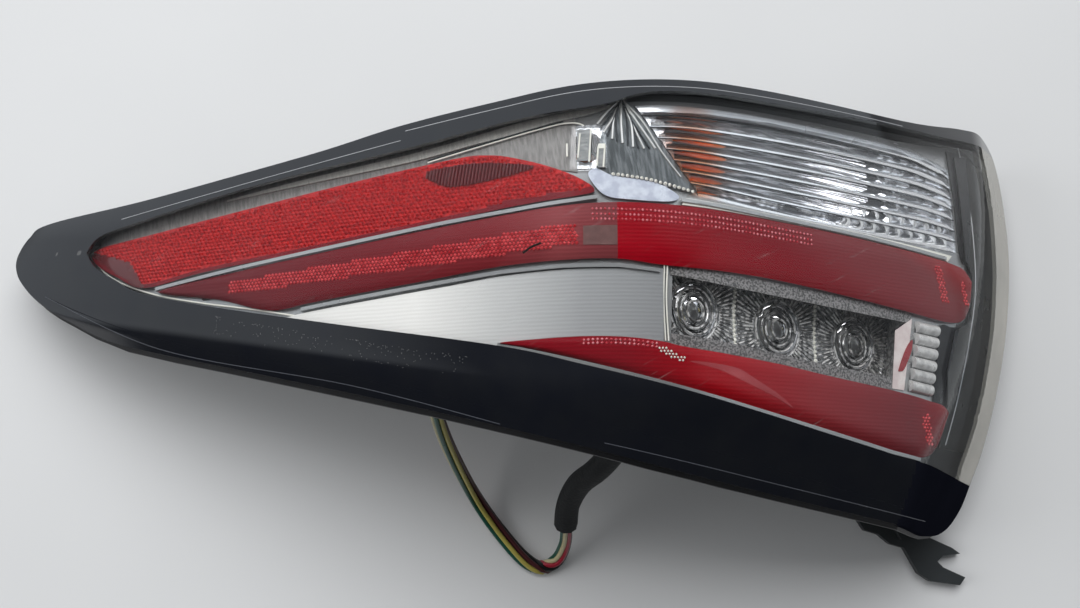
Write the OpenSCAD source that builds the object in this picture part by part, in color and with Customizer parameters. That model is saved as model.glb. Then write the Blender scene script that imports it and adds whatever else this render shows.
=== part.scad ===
// Left outer tail light cluster, lying on its back with the lenses upwards.
// +X runs along the lamp towards the tailgate, +Y is up on the car and +Z leaves the lens.
// The origin is the mouth of the lower threaded insert, level with the resting faces.

/* [Lens form] */
// X of the ridge where the side wing turns into the rear wing
ridge_x = 33; // [29:1:37]
// Height of the ridge above the resting plane
ridge_z = 171; // [168:1:176]
// Radius of the rounded ridge
ridge_r = 110; // [90:5:125]
// Fall of the side wing where it leaves the ridge, degrees
side_fall = 20; // [19:0.5:21]
// Fall of the rear wing where it leaves the ridge, degrees
rear_fall = 27; // [26:0.5:28]
// Radius of the side wing
side_r = 1400; // [1200:50:1700]
// Radius of the rear wing
rear_r = 800; // [740:20:900]
// Radius of the crown across the lens at the ridge
crown_r = 420; // [400:5:450]
// Tilt of the lower black panel, degrees
panel_tilt = 30; // [26:1:34]
// Y of the crease above the lower black panel, at the ridge
crease_y = -40; // [-44:1:-37]
// Radius of the sloping end wall, measured at the end wall's foot
end_r = 304; // [302:1:307]

/* [Walls] */
// Wall of the outer lens and of its black border
skin_t = 3; // [2.5:0.1:3.5]
// Height of the rim that drops from the lens to the housing
rim_h = 12; // [10:0.5:14]
// Height of the sealing bead
bead_h = 1; // [0.6:0.1:1.4]
// Thickness of the housing's flange
flange_t = 4; // [3:0.5:5]
// How far the flange stands out past the lens
flange_out = 1.5; // [1:0.25:2]
// Depth of the housing's tray below the lens surface
tray_depth = 30; // [29:0.5:32]
// Wall of the housing
wall = 2.5; // [2:0.1:3]
// Height of the stiffening ribs on the housing's back
back_rib_h = 4; // [3:0.5:5]
// Thickness of the stiffening ribs on the housing's back
back_rib_t = 2; // [1.6:0.2:2.4]
// Thickness of the body gasket
gasket_t = 4; // [3:0.5:5]
// Gap between pieces that seat on each other
seat_gap = 0.2; // [0.1:0.05:0.3]

/* [Optics] */
// Depth of the bezel's face below the lens surface
bezel_in = 10; // [9.5:0.25:10.5]
// Thickness of the bezel
bezel_t = 2.5; // [2:0.25:3]
// Wall of the red lenses
blade_t = 2.5; // [2:0.25:3]
// Depth of the red lenses' faces below the lens surface
blade_in = 5.5; // [5:0.25:6]
// Width of the light guides
guide_w = 7; // [6:0.5:8]
// Thickness of the reflex reflector
reflex_t = 3.4; // [3:0.2:3.6]
// Thickness of the satin panel
satin_t = 1.8; // [1.4:0.2:2.2]
// Width of the bezel's bright ribs
rib_w = 1.6; // [1.2:0.1:1.8]

/* [Stop lamp] */
// Number of light-emitting diodes
stop_count = 3; // [2:1:3]
// Distance between the diodes
stop_pitch = 49; // [46:1:51]
// Diameter of each collimator
cup_d = 30; // [26:1:31]
// Tilt of the stop lamp to the car's rear, degrees
stop_tilt = 34; // [32:1:35]
// Distance from the stop lens to its circuit board
board_gap = 14; // [12:0.5:16]

/* [Turn and side lamps] */
// Number of flutes on the turn lens
flute_count = 8; // [7:1:10]
// Diameter of the turn bulb
turn_bulb_d = 25; // [22:0.5:26]
// Radius of the turn reflector's bowl
bowl_r = 130; // [125:5:140]
// Diameter of the turn socket
turn_socket_d = 30; // [28:0.5:31]
// Diameter of the side lamp's bulb
side_bulb_d = 10; // [9:0.5:11]
// Diameter of the side lamp's socket
side_socket_d = 22; // [20:0.5:24]

/* [Fixings] */
// Bore of the threaded inserts, the core of an M6 thread
insert_bore = 5; // [4.6:0.1:5.2]
// Outside diameter of the threaded inserts
insert_d = 8; // [7.5:0.25:9]
// Length of the threaded inserts
insert_len = 8.5; // [8:0.5:9.5]
// Diameter of the locating pins
pin_d = 9; // [8:0.5:10]
// Length of the locating pins past their flanges
pin_len = 17; // [14:1:18]
// Width of the bracket's fork
fork_w = 6; // [5:0.5:7]
// Thickness of the fork bracket
bracket_t = 6; // [5:0.5:7]

/* [Wiring] */
// Outside diameter of the wire sleeve
sleeve_d = 12; // [11:0.5:13]
// Diameter of the bundle of wires
bundle_d = 7; // [6.5:0.5:7.5]

/* [Hidden] */
$fn = 96;
fine = 720;

big = 400;
axis_z = ridge_z - crown_r;
crown_y = 5;
panel_side_fall = side_fall + 2;
panel_rear_fall = rear_fall - 9;
crease_z = axis_z + sqrt(pow(crown_r, 2) - pow(crease_y - crown_y, 2));
end_c = [-60, 50];
end_z = ridge_z - 144;
end_lean = 0.6;
crown_half = 30;

// Heights measured down from the lens surface
rim_z = rim_h + bead_h;
floor_z = tray_depth - wall;
bezel_back = bezel_in + bezel_t;
on_bezel = bezel_in - seat_gap;
under_bezel = bezel_back + seat_gap;

function pick(p, i) = p[(i + len(p)) % len(p)];
function unit(v) = v / norm(v);
function between(a, b, c, d, t) =
    0.5 * (2 * b + (c - a) * t + (2 * a - 5 * b + 4 * c - d) * t * t
        + (3 * b - a - 3 * c + d) * t * t * t);
// Closed curve through the points, with n steps between each two
function smooth(p, n = 2) = [for (i = [0 : len(p) - 1]) for (k = [0 : n - 1])
    between(pick(p, i - 1), p[i], pick(p, i + 1), pick(p, i + 2), k / n)];
// Closed outline moved inwards by d
function inset(p, d) = [for (i = [0 : len(p) - 1])
    let (u = unit(p[i] - pick(p, i - 1)), v = unit(pick(p, i + 1) - p[i]))
    p[i] + d * [-(u.y + v.y), u.x + v.x] / (1 + u * v)];
function ends(p, i) = i == 0 ? unit(p[1] - p[0]) : i == len(p) - 1 ? unit(p[i] - p[i - 1])
    : unit(p[i + 1] - p[i - 1]);
// Outline of a strip of width w along an open path
function ribbon(p, w) = concat(
    [for (i = [0 : len(p) - 1]) p[i] + w / 2 * [ends(p, i).y, -ends(p, i).x]],
    [for (i = [len(p) - 1 : -1 : 0]) p[i] - w / 2 * [ends(p, i).y, -ends(p, i).x]]);

// Outlines seen from above, anticlockwise
outline = smooth([[-264, 28], [-252, 18], [-236, 9], [-205, -5], [-141, -21], [-48, -43.5],
    [47, -67.5], [105, -80], [166, -92], [188, -97], [202, -94], [212, -84], [218, -71],
    [227, -50], [240, -3], [247, 42], [246, 72], [243, 94], [238, 103], [228, 107], [212, 105.5],
    [174, 100], [93, 98.5], [28, 95], [-16, 90], [-62, 84], [-108, 75.5], [-189, 65.5],
    [-252, 61.5], [-265, 56], [-272, 46], [-271, 37]]);
window_low = [[-226, 42], [-220, 34], [-207, 26], [-192, 18], [-156, 8.5], [-91, -5], [-17, -19],
    [24, -29.5], [97, -46.5], [154, -60], [187, -66]];
window_high = [[212, 97], [172, 91.5], [103, 90.5], [52, 91], [38, 88], [26, 84], [-16, 79],
    [-62, 72], [-133, 64], [-203, 53], [-220, 49]];
window = smooth(concat(window_low, [[207, -40], [221, 10], [227, 50], [225, 85]], window_high));
lens_cut = concat(window_low, [[225, -73], [270, -75], [270, 103]], window_high);

reflex = smooth([[-226, 42], [-221, 36], [-209, 29], [-190, 22.3], [-140, 28.2], [-85, 34.2],
    [-41, 39.2], [15, 44.6], [23, 47], [19, 51], [4, 59], [-18, 66], [-35, 67], [-52, 65],
    [-66, 58.5], [-111, 53], [-164, 50], [-205, 47.5], [-221, 46]]);
flute_window = smooth([[-52, 61], [-40, 53.5], [-22, 54.5], [-2, 58.5], [-12, 61.5], [-28, 63.5],
    [-42, 63.2]]);
upper_red = smooth([[-184, 19], [-150, 12], [-124, 4.8], [-104, 6.6], [-85, 8.6], [-49, 12.4],
    [-17, 16], [10, 17], [33, 17], [54, 14.5], [101, 12.5], [167, 6], [197, 3.5], [207, 9],
    [210, 20], [209, 29], [197, 33], [151, 36.5], [102, 39], [58, 41], [17, 41.2], [-41, 36],
    [-85, 31], [-140, 24.8]]);
lower_red = smooth([[-8, -17.6], [25, -26], [66, -36], [112, -46.4], [156, -56.3], [173, -59.6],
    [179, -57], [183, -47], [183, -37.5], [150, -32.5], [113, -27], [52, -18.4], [17, -17.4]]);
satin = smooth([[-113, 1], [-95, -2.6], [-60, -9], [-20, -15.5], [8, -15], [45, -16], [51, -15],
    [51, -3], [51, 9], [35, 11.4], [10, 11.6], [-17, 10.6], [-40, 8], [-66, 5.6]]);
turn = [[66, 46], [102, 42.5], [150, 40], [196, 37], [204, 38.5], [206, 60], [205, 84],
    [190, 87.5], [172, 89], [103, 89], [70, 88], [52, 87.3], [40, 86.3]];
ribbed = [[170.3, -31], [182.5, -32.5], [188.5, 1.6], [176.3, 2.4]];
end_zone = [[190, -70], [196, -36], [193, -20], [199, 0], [214, 8], [214, 31], [209, 36],
    [210, 92], [280, 110], [280, -90]];

// Paths of the bezel's bright ribs and of the light guides
reflex_rib = [[-186, 20.6], [-140, 26.5], [-85, 32.6], [-41, 37.6], [15, 42.9], [24, 44]];
satin_rib = [[-108, 4], [-85, 6.6], [-49, 10.3], [-17, 13.4], [10, 14.3], [33, 14.1], [50, 12.2]];
lower_rib = [[-18, -17.4], [24, -28], [66, -38.1], [112, -48.6], [160, -59.3], [176, -62]];
turn_rib = [[60, 43.4], [102, 40.7], [150, 38.2], [196, 34.9]];
pleat_top = [34, 84];
pleat_low = [[46, 52], [50, 50], [54, 49], [58, 49], [62, 50]];
upper_guide = [[-160, 17], [-120, 16], [-83, 20], [-15, 26.5], [33, 29], [102, 25.5], [150, 21],
    [202, 16.5]];
lower_guide = [[30, -22], [66, -27.5], [112, -37], [150, -44.5], [176, -48]];

// Stop lamp, in its own tilted frame
stop_c = [103, -5];
stop_z = ridge_z - 55.5;
stop_plan = [[-60, -10.5], [71, -23.5], [78, 11], [-59, 18.5]];
stop_lean = 10;
stop_mouth = [for (p = stop_plan) [p.x * cos(stop_tilt - stop_lean), p.y]];
stop_lens_t = 2.4;
stop_wall = 1.8;
stop_slant = -3.5;
stop_first = -50;
board_t = 1.6;
diode_h = 1.6;
post_at = [[-25, -8], [-25, 12], [26, -14], [26, 8]];
stop_open = [[54.5, -14.8], [167, -28.6], [173, 5.4], [55.5, 12.8]];
guide_t = 5;
guide_in = blade_in + blade_t + 0.5;
guide_board_in = guide_in + guide_t + diode_h + 0.4;
screw_d = 2.4;

turn_c = [71, 66];
turn_lean = 33;
bowl_z = ridge_z - 61;
bowl_t = 2;
bowl_rim = 3.5;
bowl_long = 125;
turn_z = ridge_z - 72;
side_c = [20, 67];
side_z = ridge_z - 49;

// Back of the housing, as height over X
back_z = ridge_z - 161;
back_top = ridge_z - 83;
back_line = [[-232, back_z + 6], [-60, back_top - 8], [-15, back_top], [40, back_top],
    [190, back_z], [260, back_z]];
side_boss_z = back_top - 6;
turn_boss_z = back_top - 32;
insert_at = [[204, 66], [204, -4]];
pin_at = [[-165, 22], [-70, 15]];
pin_face = [back_z + 24, back_top - 20];
pin_flange_d = 18;
pin_flange_t = 3;
pin_root_d = 5.8;
pin_root_len = 8;
vent_at = [2, 30];
vent_d = 16;
tip_foot = [16, 16, back_z + 20];

// Clearances and walls of the housing's features
tray_side = 4;
body_side = 2;
bezel_side = tray_side + wall + 0.4;
bore_gap = 0.5;
boss_wall = 4;
boss_in = 5;
insert_room = 3;
back_rib_x = [-100, -76, -52, -28, -4, 20, 44, 68, 92, 116];
back_rib_y = [8, 50];
turn_boss_up = 34;
turn_boss_rim = 14;
side_boss_up = 16;
side_boss_rim = 12;
bulb_base_d = 15;
bulb_base_h = 13;
side_bulb_root = 9;
plug_pad = [28, 18];
plug_clear = 17;
grommet_pad_d = 24;
grommet_clear = 13;

// Fork bracket: its notch is fork_w wide and opens towards +X
fork_at = [206, -110];
bracket_screw_at = [[197, -46], [203, -28]];
bracket_boss_d = 8;
bracket_head_d = 8;
bracket_seat = back_z - 6;
bracket_lip = fork_at.x + 3;
bracket_plan = [[164, -86], [169, -94], [176, -96], [182, -101], [189, -103], [196, -116],
    [202, -120], [217, -122], [220, -118], [bracket_lip, fork_at.y - fork_w / 2], fork_at,
    [bracket_lip, fork_at.y + fork_w / 2], [218, -106], [214, -103], [203, -98], [194, -95],
    [196, -62], [208, -48], [210, -22], [196, -20], [186, -46], [176, -62]];

// Wiring: the plug hangs under the side wing, the sleeve enters under the ridge
plug_at = [-52, -22];
plug_face = ridge_z - 65;
plug_size = [24, 14, 22];
nose = [18, 8, 6];
grommet_at = [34, -42];
grommet_face = ridge_z - 44;
grommet_flange = 3;
sleeve_path = [[34, -42, 123.8], [34, -43, 115], [35, -50, 103], [34, -58, 89], [27, -66, 74],
    [19, -72, 59], [14, -81, 43], [13, -91, 29]];
bundle_path = [[13, -91, 28.8], [13, -100, 15], [9, -109, 6], [1, -113, 4], [-8, -109, 4],
    [-20, -96, 4], [-31, -81, 9], [-40, -65, 27], [-47, -49, 51], [-51, -34, 71], [-52, -22, 83.8]];

// Puts the lower threaded insert at the origin
module place() { translate([-insert_at[1].x, -insert_at[1].y, 0]) children(); }
module down(d) { translate([0, 0, -d]) children(); }
module prism(p) { translate([0, 0, -big / 4]) linear_extrude(big) polygon(p); }
module at(p, z = 0) { translate([p.x, p.y, z]) children(); }

// Side view of the two wings, o inside the lens surface
module wings(o, side_a, rear_a) {
    c = [ridge_x, ridge_z - ridge_r];
    difference() {
        intersection() {
            translate(c + (side_r - ridge_r) * [sin(side_a), -cos(side_a)]) circle(side_r - o, $fn = fine);
            translate(c + (rear_r - ridge_r) * [-sin(rear_a), -cos(rear_a)]) circle(rear_r - o, $fn = fine);
            translate([-0.8 * big, -0.5 * big]) square([1.6 * big, 1.5 * big]);
        }
        difference() {
            polygon([c, c + big * [-sin(side_a), cos(side_a)], c + big * [sin(rear_a), cos(rear_a)]]);
            translate(c) circle(ridge_r - o, $fn = fine / 3);
        }
    }
}

// Turns a side view of the wings about an axis far below the lens, which gives the crown
module crowned() {
    translate([0, crown_y, axis_z]) rotate([0, -90, 0]) rotate([0, 0, -crown_half])
        rotate_extrude(angle = 2 * crown_half, $fn = fine / 3) intersection() {
            rotate(-90) translate([0, -axis_z]) children();
            translate([0.3 * crown_r, -big]) square([crown_r, 2 * big]);
        }
}
// The crowned lens form, o inside its surface
module crown(o) { crowned() wings(o, side_fall, rear_fall); }

// The lower black panel's form
module panel(o) {
    translate([0, crease_y, crease_z]) rotate([90 + panel_tilt, 0, 0])
        linear_extrude(height = 2 * big, center = true) translate([0, -ridge_z])
            wings(o, panel_side_fall, panel_rear_fall);
}

// The end wall towards the tailgate
module end_cone(o) {
    r = end_r - o * sqrt(1 + end_lean * end_lean);
    at(end_c, -60) cylinder(h = 320, r1 = r + (60 + end_z) * end_lean, r2 = r - (260 - end_z) * end_lean,
        $fn = fine / 3);
}

module form(o) { intersection() { crown(o); panel(o); end_cone(o); } }
// Plates between two depths below the crowned surface, of the outlines that follow
module plates(a, b) {
    intersection() {
        crowned() difference() {
            wings(a, side_fall, rear_fall);
            wings(b, side_fall, rear_fall);
        }
        translate([0, 0, -big / 4]) linear_extrude(big) children();
    }
}
module plate(a, b, p) { plates(a, b) polygon(p); }

module lens_shell() {
    difference() {
        intersection() { form(0); prism(outline); }
        intersection() { form(skin_t); prism(inset(outline, skin_t)); }
        down(rim_h) form(0);
    }
}

module outer_lens() {
    color([0.9, 0.92, 0.94, 0.35]) intersection() { lens_shell(); prism(lens_cut); }
}

module black_border() {
    color([0.03, 0.03, 0.05]) difference() { lens_shell(); prism(lens_cut); }
}

module lens_seal() {
    color([0.1, 0.1, 0.1]) difference() {
        intersection() { down(rim_h) form(0); prism(inset(outline, 0.5)); }
        prism(inset(outline, skin_t - 0.5));
        down(rim_z) form(0);
    }
}

module back_form(o) {
    translate([0, big / 2, 0]) rotate([90, 0, 0]) linear_extrude(big) translate([0, o])
        polygon(concat(back_line, [[260, big], [-232, big]]));
}

module housing_solid() {
    intersection() {
        union() {
            difference() {
                intersection() { down(rim_z) form(0); prism(inset(outline, -flange_out)); }
                down(rim_z + flange_t) form(0);
            }
            difference() {
                intersection() { down(rim_z + 0.5) form(0); prism(inset(outline, tray_side)); }
                down(tray_depth) form(0);
            }
            intersection() { down(floor_z) form(0); prism(inset(window, body_side)); back_form(0); }
            intersection() {
                down(floor_z + 1) form(0);
                union() {
                    translate([-262, 38, 0]) cube(tip_foot);
                    at(plug_at, plug_face) translate(-plug_pad / 2) cube([plug_pad.x, plug_pad.y, 40]);
                    at(grommet_at, grommet_face) cylinder(h = 30, d = grommet_pad_d);
                }
            }
        }
        translate([-big, -big, 0]) cube([2 * big, 2 * big, big]);
    }
}

// Lattice of ribs that stands on the housing's back, clear of the vent cap
module back_ribs() {
    x = [back_rib_x[0], back_rib_x[len(back_rib_x) - 1]];
    difference() {
        intersection() {
            down(floor_z) form(0);
            prism(inset(window, body_side));
            back_form(-back_rib_h);
            translate([0, 0, -big / 4]) linear_extrude(big) {
                for (at_x = back_rib_x) polygon(ribbon([[at_x, -big], [at_x, big]], back_rib_t));
                for (at_y = back_rib_y) polygon(ribbon([[x[0], at_y], [x[1], at_y]], back_rib_t));
            }
        }
        back_form(wall / 2);
        at(vent_at) cylinder(h = big, d = vent_d + 4);
    }
}

module rear_housing() {
    color([0.12, 0.12, 0.13]) difference() {
        union() {
            difference() {
                housing_solid();
                difference() {
                    intersection() { form(0); prism(inset(outline, tray_side + wall)); }
                    down(floor_z) form(0);
                }
                intersection() { form(0); prism(inset(window, body_side + wall)); back_form(wall); }
            }
            at(turn_c, turn_boss_z)
                cylinder(h = turn_boss_up, d = turn_socket_d + turn_boss_rim);
            at(side_c, side_boss_z)
                cylinder(h = side_boss_up, d = side_socket_d + side_boss_rim);
            for (p = insert_at) at(p) cylinder(h = back_z + boss_in, d = insert_d + 2 * boss_wall);
            for (i = [0, 1]) at(pin_at[i], pin_face[i]) cylinder(h = pin_root_len + 4, d = pin_flange_d);
            for (p = bracket_screw_at) at(p, back_z) cylinder(h = 8, d = bracket_boss_d);
            back_ribs();
        }
        at(turn_c, turn_boss_z - 1) cylinder(h = turn_boss_up + 6, d = turn_socket_d + 2 * bore_gap);
        at(side_c, side_boss_z - 1) cylinder(h = side_boss_up + 4, d = side_socket_d + 2 * bore_gap);
        for (p = insert_at) at(p, -1) cylinder(h = insert_len + insert_room + 1, d = insert_d);
        for (i = [0, 1]) at(pin_at[i], pin_face[i] - 1)
            cylinder(h = pin_root_len + 2, d = pin_root_d + 0.4);
        for (p = bracket_screw_at) at(p, back_z - 1) cylinder(h = 8, d = screw_d + 0.2);
        at(grommet_at, grommet_face - 1) cylinder(h = 40, d = sleeve_d + 2);
        at(plug_at, plug_face - 1) translate([-nose.x / 2 - 0.3, -nose.y / 2 - 0.3, 0])
            cube([nose.x + 0.6, nose.y + 0.6, nose.z + 1.5]);
        at(vent_at, back_line[2].y - 1) cylinder(h = wall + 2, d = 6);
    }
}

module body_gasket() {
    color([0.2, 0.2, 0.2]) difference() {
        intersection() { down(tray_depth + seat_gap) form(0); prism(inset(window, -1.5)); }
        prism(inset(window, body_side - seat_gap));
        down(tray_depth + seat_gap + gasket_t) form(0);
        for (d = [[plug_at, plug_clear], [grommet_at, grommet_clear]])
            at(d[0]) cylinder(h = big, r = d[1]);
    }
}

module main_bezel() {
    color("silver") difference() {
        union() {
            difference() {
                intersection() { form(bezel_in); prism(inset(outline, bezel_side)); }
                form(bezel_back);
                down(floor_z - seat_gap) form(0);
            }
            plates(blade_in + 1, bezel_in + 1)
                for (p = [reflex_rib, satin_rib, lower_rib, turn_rib]) polygon(ribbon(p, rib_w));
            plates(bezel_in - 1.4, bezel_in + 1)
                for (q = pleat_low) polygon(ribbon([pleat_top, q], 2));
        }
        prism(inset(turn, 2.5));
        prism(stop_open);
        prism(ribbed);
        prism(ribbon(upper_guide, guide_w + 1));
        prism(ribbon(lower_guide, guide_w + 1));
        at(side_c, 0) cylinder(h = big, d = side_bulb_d + 4);
    }
}

module end_bezel() {
    color([0.05, 0.05, 0.06]) difference() {
        intersection() {
            form(bezel_in - seat_gap - 2);
            prism(inset(outline, bezel_side));
            prism(end_zone);
            translate([0, -55, 0]) cube([big, 150, big]);
        }
        form(on_bezel);
        down(floor_z - 2) form(0);
    }
}

module satin_panel() { color([0.75, 0.75, 0.76]) plate(on_bezel - satin_t, on_bezel, satin); }

module reflex_reflector() {
    color([0.8, 0.06, 0.05]) difference() {
        plate(on_bezel - reflex_t, on_bezel, reflex);
        plate(on_bezel - reflex_t - 1, on_bezel - reflex_t + 0.8, flute_window);
    }
}

// A red lens has a channel in its back that its light guide lies in
module red_lens(p, guide) {
    color([0.75, 0.03, 0.06]) difference() {
        plate(blade_in, on_bezel, p);
        plate(blade_in + blade_t, on_bezel + 1, ribbon(guide, guide_w + 1));
    }
}
module upper_red_lens() { red_lens(upper_red, upper_guide); }
module lower_red_lens() { red_lens(lower_red, lower_guide); }

module light_guide(p) {
    color([0.9, 0.9, 0.95, 0.5]) plate(guide_in, guide_in + guide_t, ribbon(p, guide_w));
}
module upper_light_guide() { light_guide(upper_guide); }
module lower_light_guide() { light_guide(lower_guide); }

function guide_end(p) = p[len(p) - 1];
module guide_pads(a, b, w) {
    plates(a, b) for (p = [upper_guide, lower_guide])
        polygon(ribbon([guide_end(p) - [12, 0], guide_end(p) - [2, 0]], w));
}
module guide_board() {
    color([0.1, 0.35, 0.15]) plates(guide_board_in, guide_board_in + board_t) {
        for (p = [upper_guide, lower_guide])
            polygon(ribbon([guide_end(p) - [12, 0], guide_end(p) - [2, 0]], 12));
        polygon(ribbon([guide_end(upper_guide) - [8, 5], guide_end(lower_guide) - [8, -5]], 6));
    }
}
module guide_diodes() { color("gold") guide_pads(guide_board_in - diode_h, guide_board_in, 4); }

// Carries its children into the stop lamp's frame
module stop_frame(lean) {
    translate([stop_c.x, stop_c.y, stop_z]) rotate([0, lean, 0]) children();
}
function cup_at(i) = [stop_first + 3 + i * stop_pitch, stop_slant * i + 3];

module collimator() {
    rotate_extrude() polygon([[0, -board_gap + diode_h + 3], [3, -board_gap + diode_h + 3],
        [5, -board_gap + diode_h + 0.6], [cup_d / 2 - 4, 0.4], [cup_d / 2 - 4, stop_lens_t],
        [cup_d / 2 - 3, stop_lens_t + 0.6], [cup_d / 2 - 4, stop_lens_t + 2.4],
        [cup_d / 2 - 6, stop_lens_t + 1], [cup_d / 3 - 1, stop_lens_t + 0.6],
        [cup_d / 3 - 2, stop_lens_t + 2.2], [cup_d / 3 - 4, stop_lens_t + 0.6],
        [3.6, stop_lens_t + 1.4], [0, stop_lens_t + 3]]);
}

module stop_inner_lens() {
    color([0.85, 0.87, 0.9, 0.5]) stop_frame(stop_tilt) {
        translate([0, 0, seat_gap]) linear_extrude(stop_lens_t) polygon(inset(stop_plan, 1.2));
        for (i = [0 : stop_count - 1]) translate([cup_at(i).x, cup_at(i).y, 0]) collimator();
    }
}

module stop_reflector() {
    color([0.75, 0.76, 0.78]) {
        stop_frame(stop_tilt) difference() {
            union() {
                translate([0, 0, -2]) linear_extrude(2) polygon(stop_plan);
                for (p = post_at)
                    translate([p.x, p.y, -board_gap + 0.2]) cylinder(h = board_gap - 1, d = 6);
            }
            for (i = [0 : stop_count - 1]) translate([cup_at(i).x, cup_at(i).y, -5])
                cylinder(h = 10, d = cup_d - 7);
            for (p = post_at) translate([p.x, p.y, -board_gap]) cylinder(h = 8, d = 2.6);
        }
        intersection() {
            stop_frame(stop_lean) difference() {
                translate([0, 0, -60]) linear_extrude(130) polygon(inset(stop_mouth, -stop_wall));
                translate([0, 0, -61]) linear_extrude(132) polygon(stop_mouth);
            }
            stop_frame(stop_tilt) translate([-big, -big, -2]) cube([2 * big, 2 * big, big]);
            crown(under_bezel);
        }
    }
}

module stop_board() {
    color([0.1, 0.35, 0.15]) stop_frame(stop_tilt) difference() {
        translate([0, 0, -board_gap - board_t]) linear_extrude(board_t) polygon(inset(stop_plan, 1));
        for (p = post_at) translate([p.x, p.y, -board_gap - 3]) cylinder(h = 6, d = 3);
    }
}

module stop_diodes() {
    color("gold") stop_frame(stop_tilt) for (i = [0 : stop_count - 1])
        translate([cup_at(i).x - 2.5, cup_at(i).y - 2.5, -board_gap]) cube([5, 5, diode_h]);
}

module screw(len, head) {
    translate([0, 0, -1.6]) cylinder(h = 1.6, d = head);
    cylinder(h = len, d = screw_d);
}
module board_screws() {
    color("dimgray") stop_frame(stop_tilt) for (p = post_at)
        translate([p.x, p.y, -board_gap - board_t]) screw(7, 5);
}

module ribbed_reflector() {
    color("silver") {
        plate(under_bezel, under_bezel + 2, inset(ribbed, -0.6));
        plates(bezel_in, under_bezel + 1) for (k = [0.5 : 1 : 5.5])
            let (a = ribbed[0] + (ribbed[3] - ribbed[0]) * k / 6,
                b = ribbed[1] + (ribbed[2] - ribbed[1]) * k / 6)
            polygon(ribbon([a + 0.02 * (b - a), b - 0.02 * (b - a)], 3.2));
    }
}

module turn_inner_lens() {
    color([0.9, 0.92, 0.95, 0.5]) {
        plate(on_bezel - 2, on_bezel, turn);
        plates(on_bezel - 2.8, on_bezel - 1) for (k = [0 : flute_count - 1])
            let (t = (k + 0.5) / flute_count, a = [67.5 - 27 * t, 46.5 + 41.5 * t],
                b = [203.5 + t, 39.5 + 45 * t])
            polygon(ribbon([a, b], 27 / flute_count));
    }
}

module turn_reflector() {
    bowl = [turn_c.x, turn_c.y, bowl_z] + bowl_r * [sin(turn_lean), 0, cos(turn_lean)];
    color([0.8, 0.8, 0.82]) difference() {
        union() {
            plate(under_bezel, under_bezel + bowl_t, turn);
            intersection() {
                crown(under_bezel + bowl_t / 4);
                prism(inset(turn, bowl_rim));
                translate(bowl) sphere(bowl_r + bowl_t);
                translate([30, 30, 0]) cube([bowl_long, 60, big]);
            }
        }
        intersection() {
            translate(bowl) sphere(bowl_r);
            prism(inset(turn, bowl_rim + bowl_t));
        }
        at(turn_c, 0) cylinder(h = big, d = turn_bulb_d + 3);
    }
}

module turn_bulb() {
    r = turn_bulb_d / 2;
    color([0.85, 0.4, 0.05]) at(turn_c, turn_z) rotate_extrude() union() {
        intersection() { translate([0, 22]) circle(r); square([r, 40]); }
        square([7, 16]);
    }
}
module turn_bulb_base() {
    color("goldenrod") at(turn_c, turn_z) down(bulb_base_h) cylinder(h = bulb_base_h, d = bulb_base_d);
}
module turn_socket() {
    color([0.15, 0.15, 0.15]) at(turn_c, turn_boss_z) difference() {
        union() {
            down(3 + 1.6) cylinder(h = 3, d = turn_socket_d + 10);
            down(4) cylinder(h = turn_z - turn_boss_z - 5, d = turn_socket_d);
            down(20) cylinder(h = 17, d = turn_socket_d - 4);
            down(18) translate([-4, turn_socket_d / 2 - 4, 0]) cube([8, 8, 12]);
        }
        translate([0, 0, turn_z - turn_boss_z - bulb_base_h])
            cylinder(h = 40, d = bulb_base_d + 2 * seat_gap);
    }
}
module ring(d, t, h) {
    difference() { cylinder(h = h, d = d + 2 * t); down(1) cylinder(h = h + 2, d = d); }
}
module turn_socket_seal() {
    color([0.6, 0.2, 0.1]) at(turn_c, turn_boss_z - 1.6 + 0.1) ring(turn_socket_d + 0.2, 3, 1.4);
}

module side_optic() {
    color([0.9, 0.92, 0.95, 0.5]) {
        plate(on_bezel - 2, on_bezel, [[12.5, 57], [28.5, 57], [28.5, 77], [13.5, 77]]);
        plates(on_bezel - 3, on_bezel - 1) for (k = [0 : 4])
            polygon(ribbon([[14.5 + 3 * k, 57.5], [14.5 + 3 * k, 76.5]], 1.6));
    }
}
module side_bulb() {
    r = side_bulb_d / 2;
    color([0.95, 0.6, 0.2]) at(side_c, side_z - side_bulb_root) rotate_extrude() union() {
        intersection() { translate([0, 20]) circle(r); square([r, 40]); }
        square([r, 20]);
    }
}
module side_socket() {
    color([0.15, 0.15, 0.15]) at(side_c, side_boss_z) difference() {
        union() {
            down(3 + 1.6) cylinder(h = 3, d = side_socket_d + 8);
            down(4) cylinder(h = side_z - side_boss_z - 2, d = side_socket_d);
            down(17) cylinder(h = 14, d = side_socket_d - 4);
        }
        translate([0, 0, side_z - side_bulb_root - side_boss_z])
            cylinder(h = 40, d = side_bulb_d + 2 * seat_gap);
    }
}
module side_socket_seal() {
    color([0.6, 0.2, 0.1]) at(side_c, side_boss_z - 1.6 + 0.1) ring(side_socket_d + 0.2, 2.6, 1.4);
}

module vent_cap() {
    color([0.1, 0.1, 0.1]) at(vent_at, back_line[2].y) {
        down(5) cylinder(h = 5 - seat_gap, d = vent_d);
        down(1) cylinder(h = wall + 1, d = 5.6);
    }
}

module locating_pins() {
    color([0.85, 0.85, 0.82]) for (i = [0, 1]) at(pin_at[i], pin_face[i]) {
        down(pin_flange_t) cylinder(h = pin_flange_t, d = pin_flange_d - 1);
        down(0.5) cylinder(h = pin_root_len + 0.5, d = pin_root_d);
        down(pin_flange_t + pin_len - 4) cylinder(h = pin_len - 3, d = pin_d);
        down(pin_flange_t + pin_len) cylinder(h = 4, d1 = pin_d - 5, d2 = pin_d);
    }
}

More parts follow.
